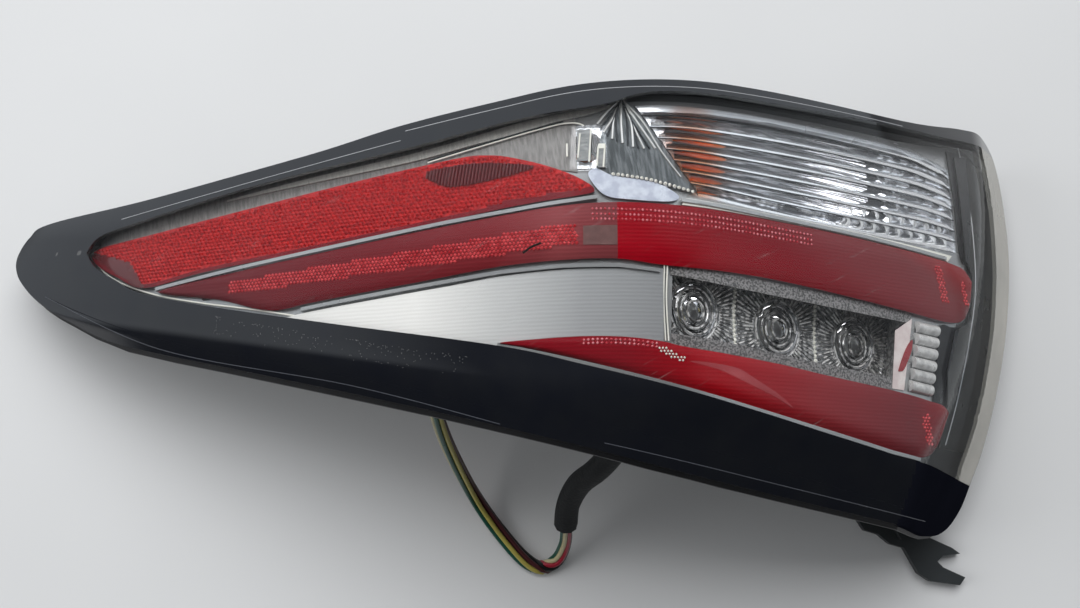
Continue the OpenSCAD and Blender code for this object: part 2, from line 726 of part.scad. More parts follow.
module threaded_inserts() {
    color("goldenrod") for (p = insert_at) at(p) difference() {
        cylinder(h = insert_len, d = insert_d);
        down(1) cylinder(h = insert_len + 2, d = insert_bore);
    }
}

module fork_bracket() {
    color([0.08, 0.08, 0.09]) difference() {
        union() {
            linear_extrude(bracket_t) polygon(bracket_plan);
            linear_extrude(back_z - seat_gap / 2) polygon([[186, -46], [190, -54], [202, -54],
                [208, -48], [210, -22], [196, -20]]);
            linear_extrude(bracket_t + 5) polygon(ribbon([[181, -60], [178, -80], [188, -98]], 3));
        }
        for (p = bracket_screw_at) {
            at(p, -1) cylinder(h = back_z + 10, d = screw_d + 0.6);
            at(p, -1) cylinder(h = bracket_seat + 1, d = bracket_head_d);
        }
    }
}
module bracket_screws() {
    color("dimgray") for (p = bracket_screw_at) at(p, bracket_seat) {
        down(2.4) cylinder(h = 2.4, d = 6.5);
        cylinder(h = 11, d = screw_d);
    }
}

module wire_grommet() {
    color([0.08, 0.08, 0.08]) at(grommet_at, grommet_face) difference() {
        union() {
            down(grommet_flange) cylinder(h = grommet_flange - seat_gap / 2, d = sleeve_d + 8);
            down(0.5) cylinder(h = 11, d = sleeve_d + 1.6);
        }
        down(5) cylinder(h = 30, d = sleeve_d - 4);
    }
}
module wire_plug() {
    color([0.85, 0.85, 0.82]) at(plug_at, plug_face - seat_gap / 2) {
        translate([-plug_size.x / 2, -plug_size.y / 2, -plug_size.z]) cube(plug_size);
        translate([-nose.x / 2, -nose.y / 2, -1]) cube([nose.x, nose.y, nose.z + 1]);
    }
}

// A round cord swept along its route
function tangent(p, i) = unit(p[min(i + 1, len(p) - 1)] - p[max(i - 1, 0)]);
module cord(p, d, sides = 8) {
    n = len(p);
    side = [0.94, 0.1, 0.32];
    points = [for (i = [0 : n - 1]) let (t = tangent(p, i), u = unit(cross(side, t)), v = cross(t, u))
        for (k = [0 : sides - 1]) p[i] + d / 2 * (cos(360 * k / sides) * u + sin(360 * k / sides) * v)];
    polyhedron(points, concat([[for (k = [sides - 1 : -1 : 0]) k]],
        [for (i = [0 : n - 2]) for (k = [0 : sides - 1]) let (m = (k + 1) % sides)
            [i * sides + k, i * sides + m, (i + 1) * sides + m, (i + 1) * sides + k]],
        [[for (k = [0 : sides - 1]) (n - 1) * sides + k]]));
}
function path3(p, n) = concat([for (i = [0 : len(p) - 2]) for (k = [0 : n - 1])
    between(p[max(i - 1, 0)], p[i], p[i + 1], p[min(i + 2, len(p) - 1)], k / n)], [p[len(p) - 1]]);
module wire_sleeve() { color([0.05, 0.05, 0.05]) cord(path3(sleeve_path, 2), sleeve_d, 12); }
module wire_bundle() { color([0.7, 0.6, 0.1]) cord(path3(bundle_path, 2), bundle_d, 8); }

place() outer_lens();
place() black_border();
place() lens_seal();
place() rear_housing();
place() body_gasket();
place() main_bezel();
place() end_bezel();
place() satin_panel();
place() reflex_reflector();
place() upper_red_lens();
place() lower_red_lens();
place() upper_light_guide();
place() lower_light_guide();
place() guide_board();
place() guide_diodes();
place() stop_inner_lens();
place() stop_reflector();
place() stop_board();
place() stop_diodes();
place() board_screws();
place() ribbed_reflector();
place() turn_inner_lens();
place() turn_reflector();
place() turn_bulb();
place() turn_bulb_base();
place() turn_socket();
place() turn_socket_seal();
place() side_optic();
place() side_bulb();
place() side_socket();
place() side_socket_seal();
place() vent_cap();
place() locating_pins();
place() threaded_inserts();
place() fork_bracket();
place() bracket_screws();
place() wire_grommet();
place() wire_plug();
place() wire_sleeve();
place() wire_bundle();
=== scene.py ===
"""Looks of a left rear outer lamp: a clear cover in a gloss black border over red blades,
a reflex reflector, a diode stop lamp and a fluted turn lamp, with its wires and fork bracket."""
import math

import bmesh
import bpy
import numpy as np
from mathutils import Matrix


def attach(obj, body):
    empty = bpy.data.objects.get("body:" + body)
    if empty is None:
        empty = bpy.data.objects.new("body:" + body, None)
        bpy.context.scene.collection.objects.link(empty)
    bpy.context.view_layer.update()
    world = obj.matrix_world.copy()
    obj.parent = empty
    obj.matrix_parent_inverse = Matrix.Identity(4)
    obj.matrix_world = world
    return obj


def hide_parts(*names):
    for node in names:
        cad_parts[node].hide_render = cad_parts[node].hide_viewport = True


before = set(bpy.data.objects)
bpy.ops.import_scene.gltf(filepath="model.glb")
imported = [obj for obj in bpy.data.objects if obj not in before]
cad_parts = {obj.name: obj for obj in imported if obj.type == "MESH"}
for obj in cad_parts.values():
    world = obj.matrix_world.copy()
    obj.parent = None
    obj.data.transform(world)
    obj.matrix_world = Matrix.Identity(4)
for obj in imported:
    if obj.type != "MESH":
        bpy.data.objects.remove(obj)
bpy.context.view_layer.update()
scene = bpy.context.scene

# The lens form, in millimetres from the point under its ridge
ORIGIN = np.array([204.0, -4.0, 0.0])
RIDGE_X, RIDGE_Z, RIDGE_R = 33.0, 171.0, 110.0
SIDE_FALL, REAR_FALL = 20.0, 27.0
PANEL_SIDE_FALL, PANEL_REAR_FALL = 22.0, 18.0
SIDE_R, REAR_R = 1400.0, 800.0
CROWN_R, CROWN_Y = 420.0, 5.0
AXIS_Z = RIDGE_Z - CROWN_R
CREASE_Y, PANEL_TILT = -40.0, 30.0
CREASE_Z = AXIS_Z + math.sqrt(CROWN_R ** 2 - (CREASE_Y - CROWN_Y) ** 2)
END_C, END_R, END_Z, END_LEAN = (-60.0, 50.0), 304.0, 27.0, 0.6
EDGE_SOFT = 4.0
# Width of the end wall's band near its foot that is painted with a pale glow
EDGE_GLOW_BAND = 13.0
END_TOP = 4.5

# Depths below the lens surface
SKIN, RIM_TOP, RIM = 3.0, 0.6, 12.0
BLADE_IN, ON_BEZEL = 5.5, 9.8
REFLEX_T, SATIN_T = 3.4, 1.8
STOP_C, STOP_TILT = (103.0, -5.0, 115.5), 34.0

OUTLINE = [(-264, 28), (-252, 18), (-236, 9), (-205, -5), (-141, -21), (-48, -43.5), (47, -67.5),
    (105, -80), (166, -92), (188, -97), (202, -94), (212, -84), (218, -71), (227, -50), (240, -3),
    (247, 42), (246, 72), (243, 94), (238, 103), (228, 107), (212, 105.5), (174, 100), (93, 98.5),
    (28, 95), (-16, 90), (-62, 84), (-108, 75.5), (-189, 65.5), (-252, 61.5), (-265, 56),
    (-272, 46), (-271, 37)]
WINDOW_LOW = [(-226, 42), (-220, 34), (-207, 26), (-192, 18), (-156, 8.5), (-91, -5), (-17, -19),
    (24, -29.5), (97, -46.5), (154, -60), (187, -66), (225, -73), (262, -75)]
WINDOW_HIGH = [(-226, 42), (-220, 49), (-203, 53), (-133, 64), (-62, 72), (-16, 79), (26, 84),
    (38, 88), (49, 90.6), (69, 92), (93, 92.8), (118, 93.5), (144, 94.7), (173, 96.2), (198, 97.2),
    (212, 98.5), (262, 103)]
WINDOW_TIP, OUTLINE_TIP = (-226.0, 42.0), (-272.0, 46.0)
WALL_X, WALL_Y = 216, (-72, 102)
WALL_SIDE_X = 150

# Harness routes, the same points as the part's
SLEEVE_PATH = [(34, -42, 123.8), (34, -43, 115), (35, -50, 103), (34, -58, 89), (27, -66, 74),
    (19, -72, 59), (14, -81, 43), (13, -91, 29)]
BUNDLE_PATH = [(13, -91, 28.8), (13, -100, 15), (9, -109, 6), (1, -113, 4), (-8, -109, 4),
    (-20, -96, 4), (-31, -81, 9), (-40, -65, 27), (-47, -49, 51), (-51, -34, 71), (-52, -22, 83.8)]
SLEEVE_D, WIRE_D = 0.012, 0.0025


def metres(points):
    return (np.asarray(points, float) - ORIGIN) / 1000


# Camera: the photo looks almost straight down on the lamp
camera = bpy.data.objects.new("camera", bpy.data.cameras.new("camera"))
scene.collection.objects.link(camera)
camera.data.lens = 43.33
camera.data.sensor_width = 36
camera.location = metres((0, -95.5, 692.6))
camera.rotation_euler = (math.radians(10), 0, 0)
scene.camera = camera


def through(points, steps):
    """Smooth open line through the points."""
    p = np.asarray(points, float)
    out = []
    for i in range(len(p) - 1):
        a, b, c, d = p[max(i - 1, 0)], p[i], p[i + 1], p[min(i + 2, len(p) - 1)]
        for k in range(steps):
            t = k / steps
            out.append(0.5 * (2 * b + (c - a) * t + (2 * a - 5 * b + 4 * c - d) * t * t
                + (3 * b - a - 3 * c + d) * t ** 3))
    return np.array(out + [p[-1]])


def ring_through(points, steps):
    """Smooth closed line through the points."""
    p = [tuple(q) for q in points]
    line = through([p[-1]] + p + [p[0], p[1]], steps)
    return line[steps:-steps - 1]


# Materials
def new_finish():
    material = bpy.data.materials.new("finish")
    material.use_nodes = True
    material.node_tree.nodes.clear()
    return material, material.node_tree


def node(tree, kind, values=None, links=None, **settings):
    """One node with its settings, socket values and incoming links. A short kind takes the
    tree's own prefix, and a node given as a source stands for its first output."""
    new = tree.nodes.new(kind if "Node" in kind else tree.bl_idname.replace("Tree", "") + kind)
    for key, value in settings.items():
        setattr(new, key, value)
    for key, value in (values or {}).items():
        new.inputs[key].default_value = value
    for key, source in (links or {}).items():
        tree.links.new(source.outputs[0] if isinstance(source, bpy.types.Node) else source,
            new.inputs[key])
    return new


def surfaced(material, shader):
    node(material.node_tree, "OutputMaterial", links={"Surface": shader})
    return material


def own_place(tree):
    return node(tree, "TexCoord").outputs["Object"]


def grain(tree, scale, detail=3.0, stretch=(1, 1, 1), turn=0.0):
    """Noise in the piece's own coordinates, stretched along an axis where asked."""
    mapping = node(tree, "Mapping", {"Scale": tuple(1 / s for s in stretch),
        "Rotation": (0, 0, turn)}, {"Vector": own_place(tree)}, vector_type="TEXTURE")
    return node(tree, "TexNoise", {"Scale": scale, "Detail": detail}, {"Vector": mapping}).outputs["Fac"]


def ramp(tree, source, stops):
    new = node(tree, "ValToRGB", links={"Fac": source})
    elements = new.color_ramp.elements
    while len(elements) < len(stops):
        elements.new(0.5)
    for element, (where, colour) in zip(elements, stops):
        element.position = where
        element.color = (*colour, 1)
    return new


def spot(tree, place, centre, reach, most, cast):
    """A mix whose first colour passes softly into the cast around a place."""
    away = node(tree, "VectorMath", {1: centre}, {0: place}, operation="DISTANCE")
    share = node(tree, "MapRange", {"From Min": reach[0], "From Max": reach[1], "To Min": most,
        "To Max": 0.0}, {"Value": away.outputs["Value"]})
    return node(tree, "Mix", {7: (*cast, 1)}, {0: share}, data_type="RGBA")


def moulded(colour, rough, other=None, metal=0, coat=0, scale=60, bump=0.05,
        fine=900, stretch=(1, 1, 1), turn=0.0, rough_spread=0.08, stops=(0.3, 0.7), specular=0.5,
        mirrored=None):
    """Moulded or plated surface: colour that varies softly, uneven gloss and a fine bump.
    mirrored is the place, reach and colour of a painted reflection: a soft spot of that colour painted where
    the surface would mirror a thing close by."""
    material, tree = new_finish()
    broad = grain(tree, scale, stretch=stretch, turn=turn)
    shade = ramp(tree, broad, [(stops[0], colour), (stops[1], other or tuple(c * 0.86 for c in colour))])
    # Painted reflection: the colour passes into the mirrored thing's colour round its place
    if mirrored:
        centre, reach, cast = mirrored
        mixed = spot(tree, own_place(tree), centre, (0.4 * reach, reach), 0.85, cast)
        tree.links.new(shade.outputs[0], mixed.inputs[6])
        shade = mixed.outputs[2]
    gloss = node(tree, "MapRange", {"To Min": max(rough - rough_spread, 0.02),
        "To Max": rough + rough_spread}, {"Value": broad})
    relief = node(tree, "Bump", {"Strength": bump, "Distance": 0.0003},
        {"Height": grain(tree, fine, 4.0, stretch, turn)})
    shader = node(tree, "BsdfPrincipled", {"Metallic": metal, "Coat Weight": coat,
        "Coat Roughness": 0.05, "Specular IOR Level": specular},
        {"Base Color": shade, "Roughness": gloss, "Normal": relief})
    return surfaced(material, shader)


def mirror_share(tree, least, most):
    """Share of light that a clear sheet sends back, small head on and large at a glance."""
    weight = node(tree, "LayerWeight", {"Blend": 0.5})
    power = node(tree, "Math", {1: 5.0}, {0: weight.outputs["Facing"]}, operation="POWER")
    return node(tree, "Math", {1: most - least, 2: least}, {0: power}, operation="MULTIPLY_ADD")


def clear_sheet(tint, haze, scratches, most=1.0):
    """Clear plastic that is seen straight through, with its shine, haze and fine scratches."""
    material, tree = new_finish()
    through_it = node(tree, "BsdfTransparent", {"Color": (*tint, 1)})
    shine = node(tree, "BsdfPrincipled", {"Base Color": (1, 1, 1, 1), "Metallic": 1.0,
        "Roughness": 0.03})
    shell = node(tree, "MixShader", links={0: mirror_share(tree, 0.009, most), 1: through_it, 2: shine})
    dull = node(tree, "BsdfPrincipled", {"Base Color": (0.8, 0.8, 0.8, 1), "Roughness": 0.5})
    marks = node(tree, "MapRange", {"From Min": 0.66, "From Max": 0.78, "To Max": scratches},
        {"Value": grain(tree, 30.0, 6.0, (1.5, 34.0, 1.0), 0.5)})
    cloud = node(tree, "MapRange", {"From Min": 0.4, "From Max": 0.75, "To Max": haze},
        {"Value": grain(tree, 12.0)})
    share = node(tree, "Math", links={0: marks, 1: cloud}, operation="ADD")
    return surfaced(material, node(tree, "MixShader", links={0: share, 1: shell, 2: dull}))


def optic(tint, rough=0.03, bulb=None):
    """Moulding that bends light, and lets the lamps reach what lies behind it.
    bulb is the place and colour of a coloured bulb whose glow, spread out by the flutes, is painted into the
    moulding's colour around that place."""
    material, tree = new_finish()
    relief = node(tree, "Bump", {"Strength": 0.04, "Distance": 0.0002},
        {"Height": grain(tree, 400.0)})
    glass = node(tree, "BsdfPrincipled", {"Base Color": (*tint, 1), "IOR": 1.49,
        "Transmission Weight": 1.0, "Roughness": rough}, {"Normal": relief})
    # Painted glow: the moulding's colour passes into the bulb's colour around the bulb
    if bulb:
        (x, y), cast = bulb
        flat = node(tree, "VectorMath", {1: (1, 0.5, 0)}, {0: own_place(tree)}, operation="MULTIPLY")
        mixed = spot(tree, flat, (x, 0.5 * y, 0), (0.007, 0.016), 0.9, cast)
        mixed.inputs[6].default_value = (*tint, 1)
        tree.links.new(mixed.outputs[2], glass.inputs["Base Color"])
    open_way = node(tree, "BsdfTransparent", {"Color": (*tint, 1)})
    path = node(tree, "LightPath")
    return surfaced(material, node(tree, "MixShader", links={0: path.outputs["Is Shadow Ray"],
        1: glass, 2: open_way}))


def clear_edge(colour):
    """The cover's sloping end wall: half clear, with a painted pale glow where it is seen edge on."""
    material, tree = new_finish()
    open_way = node(tree, "BsdfTransparent", {"Color": (0.97, 0.97, 0.95, 1)})
    shade = ramp(tree, grain(tree, 30.0), [(0.3, colour), (0.7, tuple(c * 0.75 for c in colour))])
    pale = node(tree, "BsdfPrincipled", {"Roughness": 0.12, "Coat Weight": 0.4},
        {"Base Color": shade})
    return surfaced(material, node(tree, "MixShader", {0: 0.72}, {1: open_way, 2: pale}))


def blade(stops, reach=(-0.39, 0.006), lean=0.0, rough=0.2, metal=0.1, lines_dim=0.92):
    """Red moulding whose depth of colour changes along the lamp, over fine lengthwise prisms."""
    material, tree = new_finish()
    place = own_place(tree)
    axes = node(tree, "SeparateXYZ", links={"Vector": place})
    leaning = node(tree, "Math", {1: lean}, {0: axes.outputs["Y"], 2: axes.outputs["X"]},
        operation="MULTIPLY_ADD")
    along = node(tree, "MapRange", {"From Min": reach[0], "From Max": reach[1]}, {"Value": leaning})
    mapping = node(tree, "Mapping", {"Scale": (0.15, 1, 1)}, {"Vector": place})
    lines = node(tree, "TexWave", {"Scale": 190.0, "Distortion": 1.5, "Detail": 2.0},
        {"Vector": mapping}, bands_direction="Y")
    dim = node(tree, "MapRange", {"To Min": lines_dim, "To Max": 2 - lines_dim},
        {"Value": lines.outputs["Fac"]})
    shade = node(tree, "VectorMath", links={0: ramp(tree, along, stops), "Scale": dim},
        operation="SCALE")
    relief = node(tree, "Bump", {"Strength": 0.12, "Distance": 0.0003},
        {"Height": lines.outputs["Fac"]})
    shader = node(tree, "BsdfPrincipled", {"Roughness": rough, "Metallic": metal,
        "Specular IOR Level": 0.16, "Coat Weight": 0.06, "Coat Roughness": 0.04},
        {"Base Color": shade, "Normal": relief})
    return surfaced(material, shader)


FINISH = {
    "cover": clear_sheet((1, 1, 1), 0.005, 0.1),
    "clear end": clear_sheet((0.8, 0.82, 0.83), 0.01, 0.08, most=0.16),
    "black": moulded((0.006, 0.007, 0.011), 0.07, (0.0085, 0.0095, 0.0125), coat=0.3, bump=0.015,
        rough_spread=0.03),
    # Copy of the black without reflection for the lower corner's end wall: painted shade
    "shaded black end": moulded((0.009, 0.01, 0.016), 0.3, specular=0),
    "inner black": moulded((0.012, 0.012, 0.014), 0.3, specular=0.3),
    "seal": moulded((0.03, 0.03, 0.032), 0.7, bump=0.2),
    "foam": moulded((0.05, 0.05, 0.052), 0.9, bump=0.6, fine=1500),
    "housing": moulded((0.018, 0.018, 0.02), 0.55, (0.026, 0.026, 0.028), bump=0.25, fine=1300),
    "chrome": moulded((0.52, 0.53, 0.53), 0.26, (0.4, 0.41, 0.42), metal=0.65, scale=18, stretch=(1, 5, 1)),
    "rib": moulded((0.88, 0.88, 0.86), 0.16, metal=0.6),
    # Satin: the ramp along x is painted light, bright at the left end and darker to the right
    "satin": blade([(0.0, (0.8, 0.8, 0.78)), (0.36, (0.8, 0.8, 0.78)), (0.58, (0.52, 0.53, 0.53)), (0.8,
        (0.32, 0.33, 0.34)), (1.0, (0.26, 0.27, 0.28))], (-0.317, -0.153), rough=0.42, metal=0.15,
        lines_dim=0.98),
    "reflex": moulded((0.52, 0.018, 0.018), 0.22, (0.25, 0.005, 0.008), metal=0.2, coat=0.15, scale=800,
        specular=0.3, stops=(0.4, 0.62)),
    "reflex edge": moulded((0.17, 0.006, 0.012), 0.2, (0.11, 0.004, 0.009), specular=0.3),
    "reflex dark": moulded((0.09, 0.004, 0.006), 0.25, coat=0.4, scale=90),
    "blade bright": moulded((0.78, 0.1, 0.11), 0.2, (0.42, 0.02, 0.028), metal=0.2, coat=0.2, scale=300,
        specular=0.3),
    # Pale pink for the rows of studs on the blades: painted highlights
    "blade dot highlight": moulded((0.85, 0.3, 0.34), 0.25, (0.6, 0.05, 0.07), coat=0.5, scale=500, stops=(0.45, 0.55)),
    "bead": moulded((0.85, 0.85, 0.78), 0.2, coat=0.5),
    "blade pale": moulded((0.42, 0.07, 0.08), 0.25, (0.22, 0.01, 0.015), coat=0.3, stretch=(0.3, 1, 1),
        turn=-0.25, specular=0.3),
    "blade window": moulded((0.15, 0.075, 0.07), 0.3, (0.1, 0.05, 0.048), coat=0.5, scale=300),
    "optic": optic((0.97, 0.98, 1.0)),
    # Clear turn lens with the amber bulb's glow painted into it near the bulb
    "turn optic": optic((0.97, 0.98, 1.0), bulb=((-0.138, 0.066), (0.62, 0.24, 0.09))),
    "guide": optic((0.95, 0.97, 1.0), 0.12),
    "amber": moulded((0.62, 0.17, 0.03), 0.12, (0.3, 0.07, 0.012), coat=0.5, scale=120),
    # Turn reflector: bright and dark streaks painted as its reflections, and an amber spot painted as the
    # bulb's reflection in the bowl
    "reflector with painted reflections": moulded((0.97, 0.98, 1.0), 0.12, (0.06, 0.06, 0.065), metal=0.85, scale=330,
        stretch=(0.09, 1, 1), turn=-0.14, bump=0.6, fine=260, stops=(0.42, 0.55),
        mirrored=((-0.133, 0.068, 0.12), 0.036, (0.2, 0.075, 0.035))),
    "brushed": moulded((0.17, 0.185, 0.195), 0.3, (0.075, 0.085, 0.09), metal=0.4, scale=800,
        stretch=(1, 0.06, 1), turn=0.15, bump=0.3, stops=(0.4, 0.6)),
    # Dark copy of the plated pleats: painted shade
    "pleat shade": moulded((0.05, 0.055, 0.06), 0.25, metal=0.5),
    "smoke": moulded((0.03, 0.033, 0.036), 0.25),
    "stop edge": moulded((0.3, 0.29, 0.29), 0.3, (0.09, 0.09, 0.09), metal=0.3, scale=1100, bump=0.5,
        stops=(0.44, 0.56)),
    "stop tray": moulded((0.62, 0.61, 0.6), 0.3, (0.2, 0.2, 0.2), metal=0.4, scale=500, bump=0.6, fine=600,
        stops=(0.42, 0.58)),
    "board": moulded((0.02, 0.11, 0.05), 0.35, coat=0.4),
    "pale board": moulded((0.55, 0.55, 0.53), 0.3, (0.4, 0.4, 0.39), coat=0.4),
    "diode": moulded((0.72, 0.6, 0.24), 0.4),
    "brass": moulded((0.62, 0.42, 0.16), 0.3, (0.5, 0.33, 0.13), metal=1),
    "socket": moulded((0.03, 0.03, 0.034), 0.5, bump=0.2),
    "steel": moulded((0.42, 0.42, 0.43), 0.35, metal=1),
    "pale": moulded((0.62, 0.61, 0.56), 0.45, (0.52, 0.5, 0.45), bump=0.1),
    "painted edge glow": clear_edge((0.66, 0.63, 0.55)),
    "pale line": moulded((0.45, 0.46, 0.48), 0.3),
    # Finish of the thin painted reflections along the lower border
    "painted reflection line": moulded((0.06, 0.065, 0.08), 0.3),
    "patch": moulded((0.62, 0.67, 0.76), 0.3, (0.46, 0.5, 0.6), metal=0.2, scale=220, stops=(0.4, 0.6)),
    "web": moulded((0.86, 0.8, 0.78), 0.3, (0.62, 0.5, 0.5), scale=120),
    "block rib": moulded((0.8, 0.8, 0.79), 0.3, (0.5, 0.5, 0.5), metal=0.3, scale=300),
    "optic grey": moulded((0.36, 0.37, 0.37), 0.2, (0.16, 0.17, 0.17), metal=0.3, scale=300,
        stretch=(1, 4, 1)),
    # Grey over the plated bezel above the reflex reflector: a painted, dimmer reflection
    "side web": moulded((0.3, 0.29, 0.28), 0.35, (0.2, 0.195, 0.19), metal=0.3, scale=150, stretch=(6, 1, 1),
        turn=0.13, stops=(0.38, 0.62)),
    "ledge": moulded((0.6, 0.59, 0.55), 0.3, (0.42, 0.41, 0.39), metal=0.2, scale=200, stretch=(5, 1, 1),
        turn=0.13, bump=0.02),
    "bracket": moulded((0.032, 0.036, 0.038), 0.55, bump=0.2, fine=1300),
    "dust": moulded((0.3, 0.3, 0.3), 0.8),
    "upper blade": blade([(0.0, (0.1, 0.009, 0.014)), (0.22, (0.13, 0.01, 0.015)), (0.42,
        (0.17, 0.017, 0.022)), (0.49, (0.22, 0.045, 0.05)), (0.54, (0.17, 0.035, 0.04))]),
    "rear blade": blade([(0.0, (0.3, 0.001, 0.008)), (0.25, (0.23, 0.001, 0.007)), (0.45,
        (0.19, 0.003, 0.009)), (0.62, (0.19, 0.022, 0.028)), (0.86, (0.18, 0.03, 0.034)), (1.0,
        (0.24, 0.01, 0.014))], (-0.12, 0.06), 2.0),
    "lower blade": blade([(0.0, (0.2, 0.002, 0.008)), (0.56, (0.19, 0.002, 0.008)), (0.66,
        (0.32, 0.001, 0.006)), (0.78, (0.25, 0.02, 0.026)), (0.9, (0.16, 0.018, 0.024)), (1.0,
        (0.26, 0.005, 0.01))]),
    "stop rib": moulded((0.85, 0.84, 0.82), 0.12, (0.13, 0.13, 0.13), metal=0.5, coat=0.4, scale=420,
        stops=(0.44, 0.56)),
    "scuff": moulded((0.01, 0.01, 0.01), 0.7),
    "sleeve": moulded((0.005, 0.006, 0.007), 0.6, (0.013, 0.014, 0.015), bump=0.9, fine=700, scale=700,
        specular=0.2),
}
for name, material in FINISH.items():
    material.name = name

WORN_BY = {
    "seal": "lens_seal turn_socket_seal side_socket_seal wire_grommet", "housing": "rear_housing",
    "foam": "body_gasket", "chrome": "main_bezel ribbed_reflector", "inner black": "end_bezel",
    "satin": "satin_panel", "reflex": "reflex_reflector", "upper blade": "upper_red_lens",
    "lower blade": "lower_red_lens", "guide": "upper_light_guide lower_light_guide", "board": "guide_board",
    "diode": "guide_diodes stop_diodes", "optic": "stop_inner_lens turn_inner_lens side_optic",
    "stop tray": "stop_reflector", "pale board": "stop_board", "steel": "board_screws bracket_screws",
    "reflector with painted reflections": "turn_reflector", "amber": "turn_bulb side_bulb",
    "brass": "turn_bulb_base threaded_inserts", "socket": "turn_socket side_socket vent_cap",
    "pale": "locating_pins wire_plug", "bracket": "fork_bracket", "cover": "outer_lens",
    "black": "black_border",
}
for finish, names in WORN_BY.items():
    for name in names.split():
        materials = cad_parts[name].data.materials
        materials.clear()
        materials.append(FINISH[finish])


# The lens form as heights over x and y, o inside its surface
def wings(x, o, side_fall, rear_fall):
    centre_z = RIDGE_Z - RIDGE_R
    height = centre_z + np.sqrt(np.maximum((RIDGE_R - o) ** 2 - (x - RIDGE_X) ** 2, 0))
    for way, fall, radius in ((-1, side_fall, SIDE_R), (1, rear_fall, REAR_R)):
        fall = math.radians(fall)
        wing_x = RIDGE_X - way * (radius - RIDGE_R) * math.sin(fall)
        wing_z = centre_z - (radius - RIDGE_R) * math.cos(fall)
        wing = wing_z + np.sqrt((radius - o) ** 2 - (x - wing_x) ** 2)
        height = np.where(way * (x - RIDGE_X) > (RIDGE_R - o) * math.sin(fall), wing, height)
    return height


def crown(x, y, o=0.0):
    reach = wings(x, o, SIDE_FALL, REAR_FALL) - AXIS_Z
    return AXIS_Z + np.sqrt(reach ** 2 - (y - CROWN_Y) ** 2)


def panel(x, y, o=0.0):
    rise = wings(x, o, PANEL_SIDE_FALL, PANEL_REAR_FALL) - RIDGE_Z
    tilt = math.radians(PANEL_TILT)
    return CREASE_Z + (rise + math.sin(tilt) * (y - CREASE_Y)) / math.cos(tilt)


def end_wall(x, y, o=0.0):
    reach = END_R - o * math.hypot(1, END_LEAN)
    return END_Z + (reach - np.hypot(x - END_C[0], y - END_C[1])) / END_LEAN


def soft_least(a, b, soft):
    share = np.clip(0.5 + 0.5 * (b - a) / soft, 0, 1)
    return b + (a - b) * share - soft * share * (1 - share)


def form(x, y, o=0.0):
    return soft_least(soft_least(crown(x, y, o), panel(x, y, o), EDGE_SOFT), end_wall(x, y, o), EDGE_SOFT)


# Meshes
SHARP_ANGLE = 40


def added(name, data):
    """A new object on the lamp's one body."""
    obj = bpy.data.objects.new(name, data)
    scene.collection.objects.link(obj)
    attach(obj, "root")
    return obj


def piece(name, vertices, faces, finishes, slot, face_finish=None):
    """A finished piece from points in millimetres: merged, closed, normals outwards."""
    mesh = bpy.data.meshes.new(name)
    mesh.from_pydata([tuple(p) for p in metres(vertices)], [], faces)
    for finish in finishes:
        mesh.materials.append(FINISH[finish])
    if face_finish is not None:
        mesh.polygons.foreach_set("material_index", np.asarray(face_finish, np.int32))
    work = bmesh.new()
    work.from_mesh(mesh)
    bmesh.ops.remove_doubles(work, verts=work.verts, dist=2e-6)
    bmesh.ops.dissolve_degenerate(work, edges=work.edges, dist=1e-6)
    bmesh.ops.recalc_face_normals(work, faces=work.faces)
    work.to_mesh(mesh)
    work.free()
    mesh.shade_smooth()
    mesh.set_sharp_from_angle(angle=math.radians(SHARP_ANGLE))
    return added(name, mesh)


def shell_faces(count, rows):
    """Faces of a closed slab whose upper and lower grids hold count by rows + 1 points."""
    half = count * (rows + 1)

    def at(i, j, under=False):
        return i * (rows + 1) + j + (half if under else 0)

    faces = []
    for i in range(count - 1):
        for j in range(rows):
            faces.append((at(i, j), at(i + 1, j), at(i + 1, j + 1), at(i, j + 1)))
            faces.append((at(i, j, True), at(i, j + 1, True), at(i + 1, j + 1, True),
                at(i + 1, j, True)))
        faces.append((at(i, 0), at(i, 0, True), at(i + 1, 0, True), at(i + 1, 0)))
        faces.append((at(i, rows), at(i + 1, rows), at(i + 1, rows, True), at(i, rows, True)))
    for j in range(rows):
        faces.append((at(0, j), at(0, j + 1), at(0, j + 1, True), at(0, j, True)))
        faces.append((at(count - 1, j), at(count - 1, j, True), at(count - 1, j + 1, True),
            at(count - 1, j + 1)))
    return faces


def slab(low, high, rows, top, under):
    """Points and faces of a closed slab between two edge lines seen from above."""
    share = np.linspace(0, 1, rows + 1)[None, :, None]
    plan = (low[:, None, :] + (high - low)[:, None, :] * share).reshape(-1, 2)
    x, y = plan[:, 0], plan[:, 1]
    upper = np.column_stack([plan, top(x, y)])
    lower = np.column_stack([plan, under(x, y)])
    return np.vstack([upper, lower]), shell_faces(len(low), rows)


def joined(*solids):
    vertices, faces, start = [], [], 0
    for points, polygons in solids:
        vertices.append(points)
        faces += [tuple(i + start for i in polygon) for polygon in polygons]
        start += len(points)
    return np.vstack(vertices), faces


def face_centres(points, faces):
    return np.array([points[list(face)].mean(0) for face in faces])


def at_depth(o):
    return lambda x, y: crown(x, y, o)


def sides(outline):
    """Low and high edge lines of a closed outline, both from left to right."""
    ring = ring_through(outline, 6)
    left, right = int(ring[:, 0].argmin()), int(ring[:, 0].argmax())
    ring = np.roll(ring, -left, axis=0)
    turn = (right - left) % len(ring)
    low, high = ring[:turn + 1], np.vstack([ring[turn:], ring[:1]])[::-1]
    return low, high


ENDS_TIGHT = 0.92


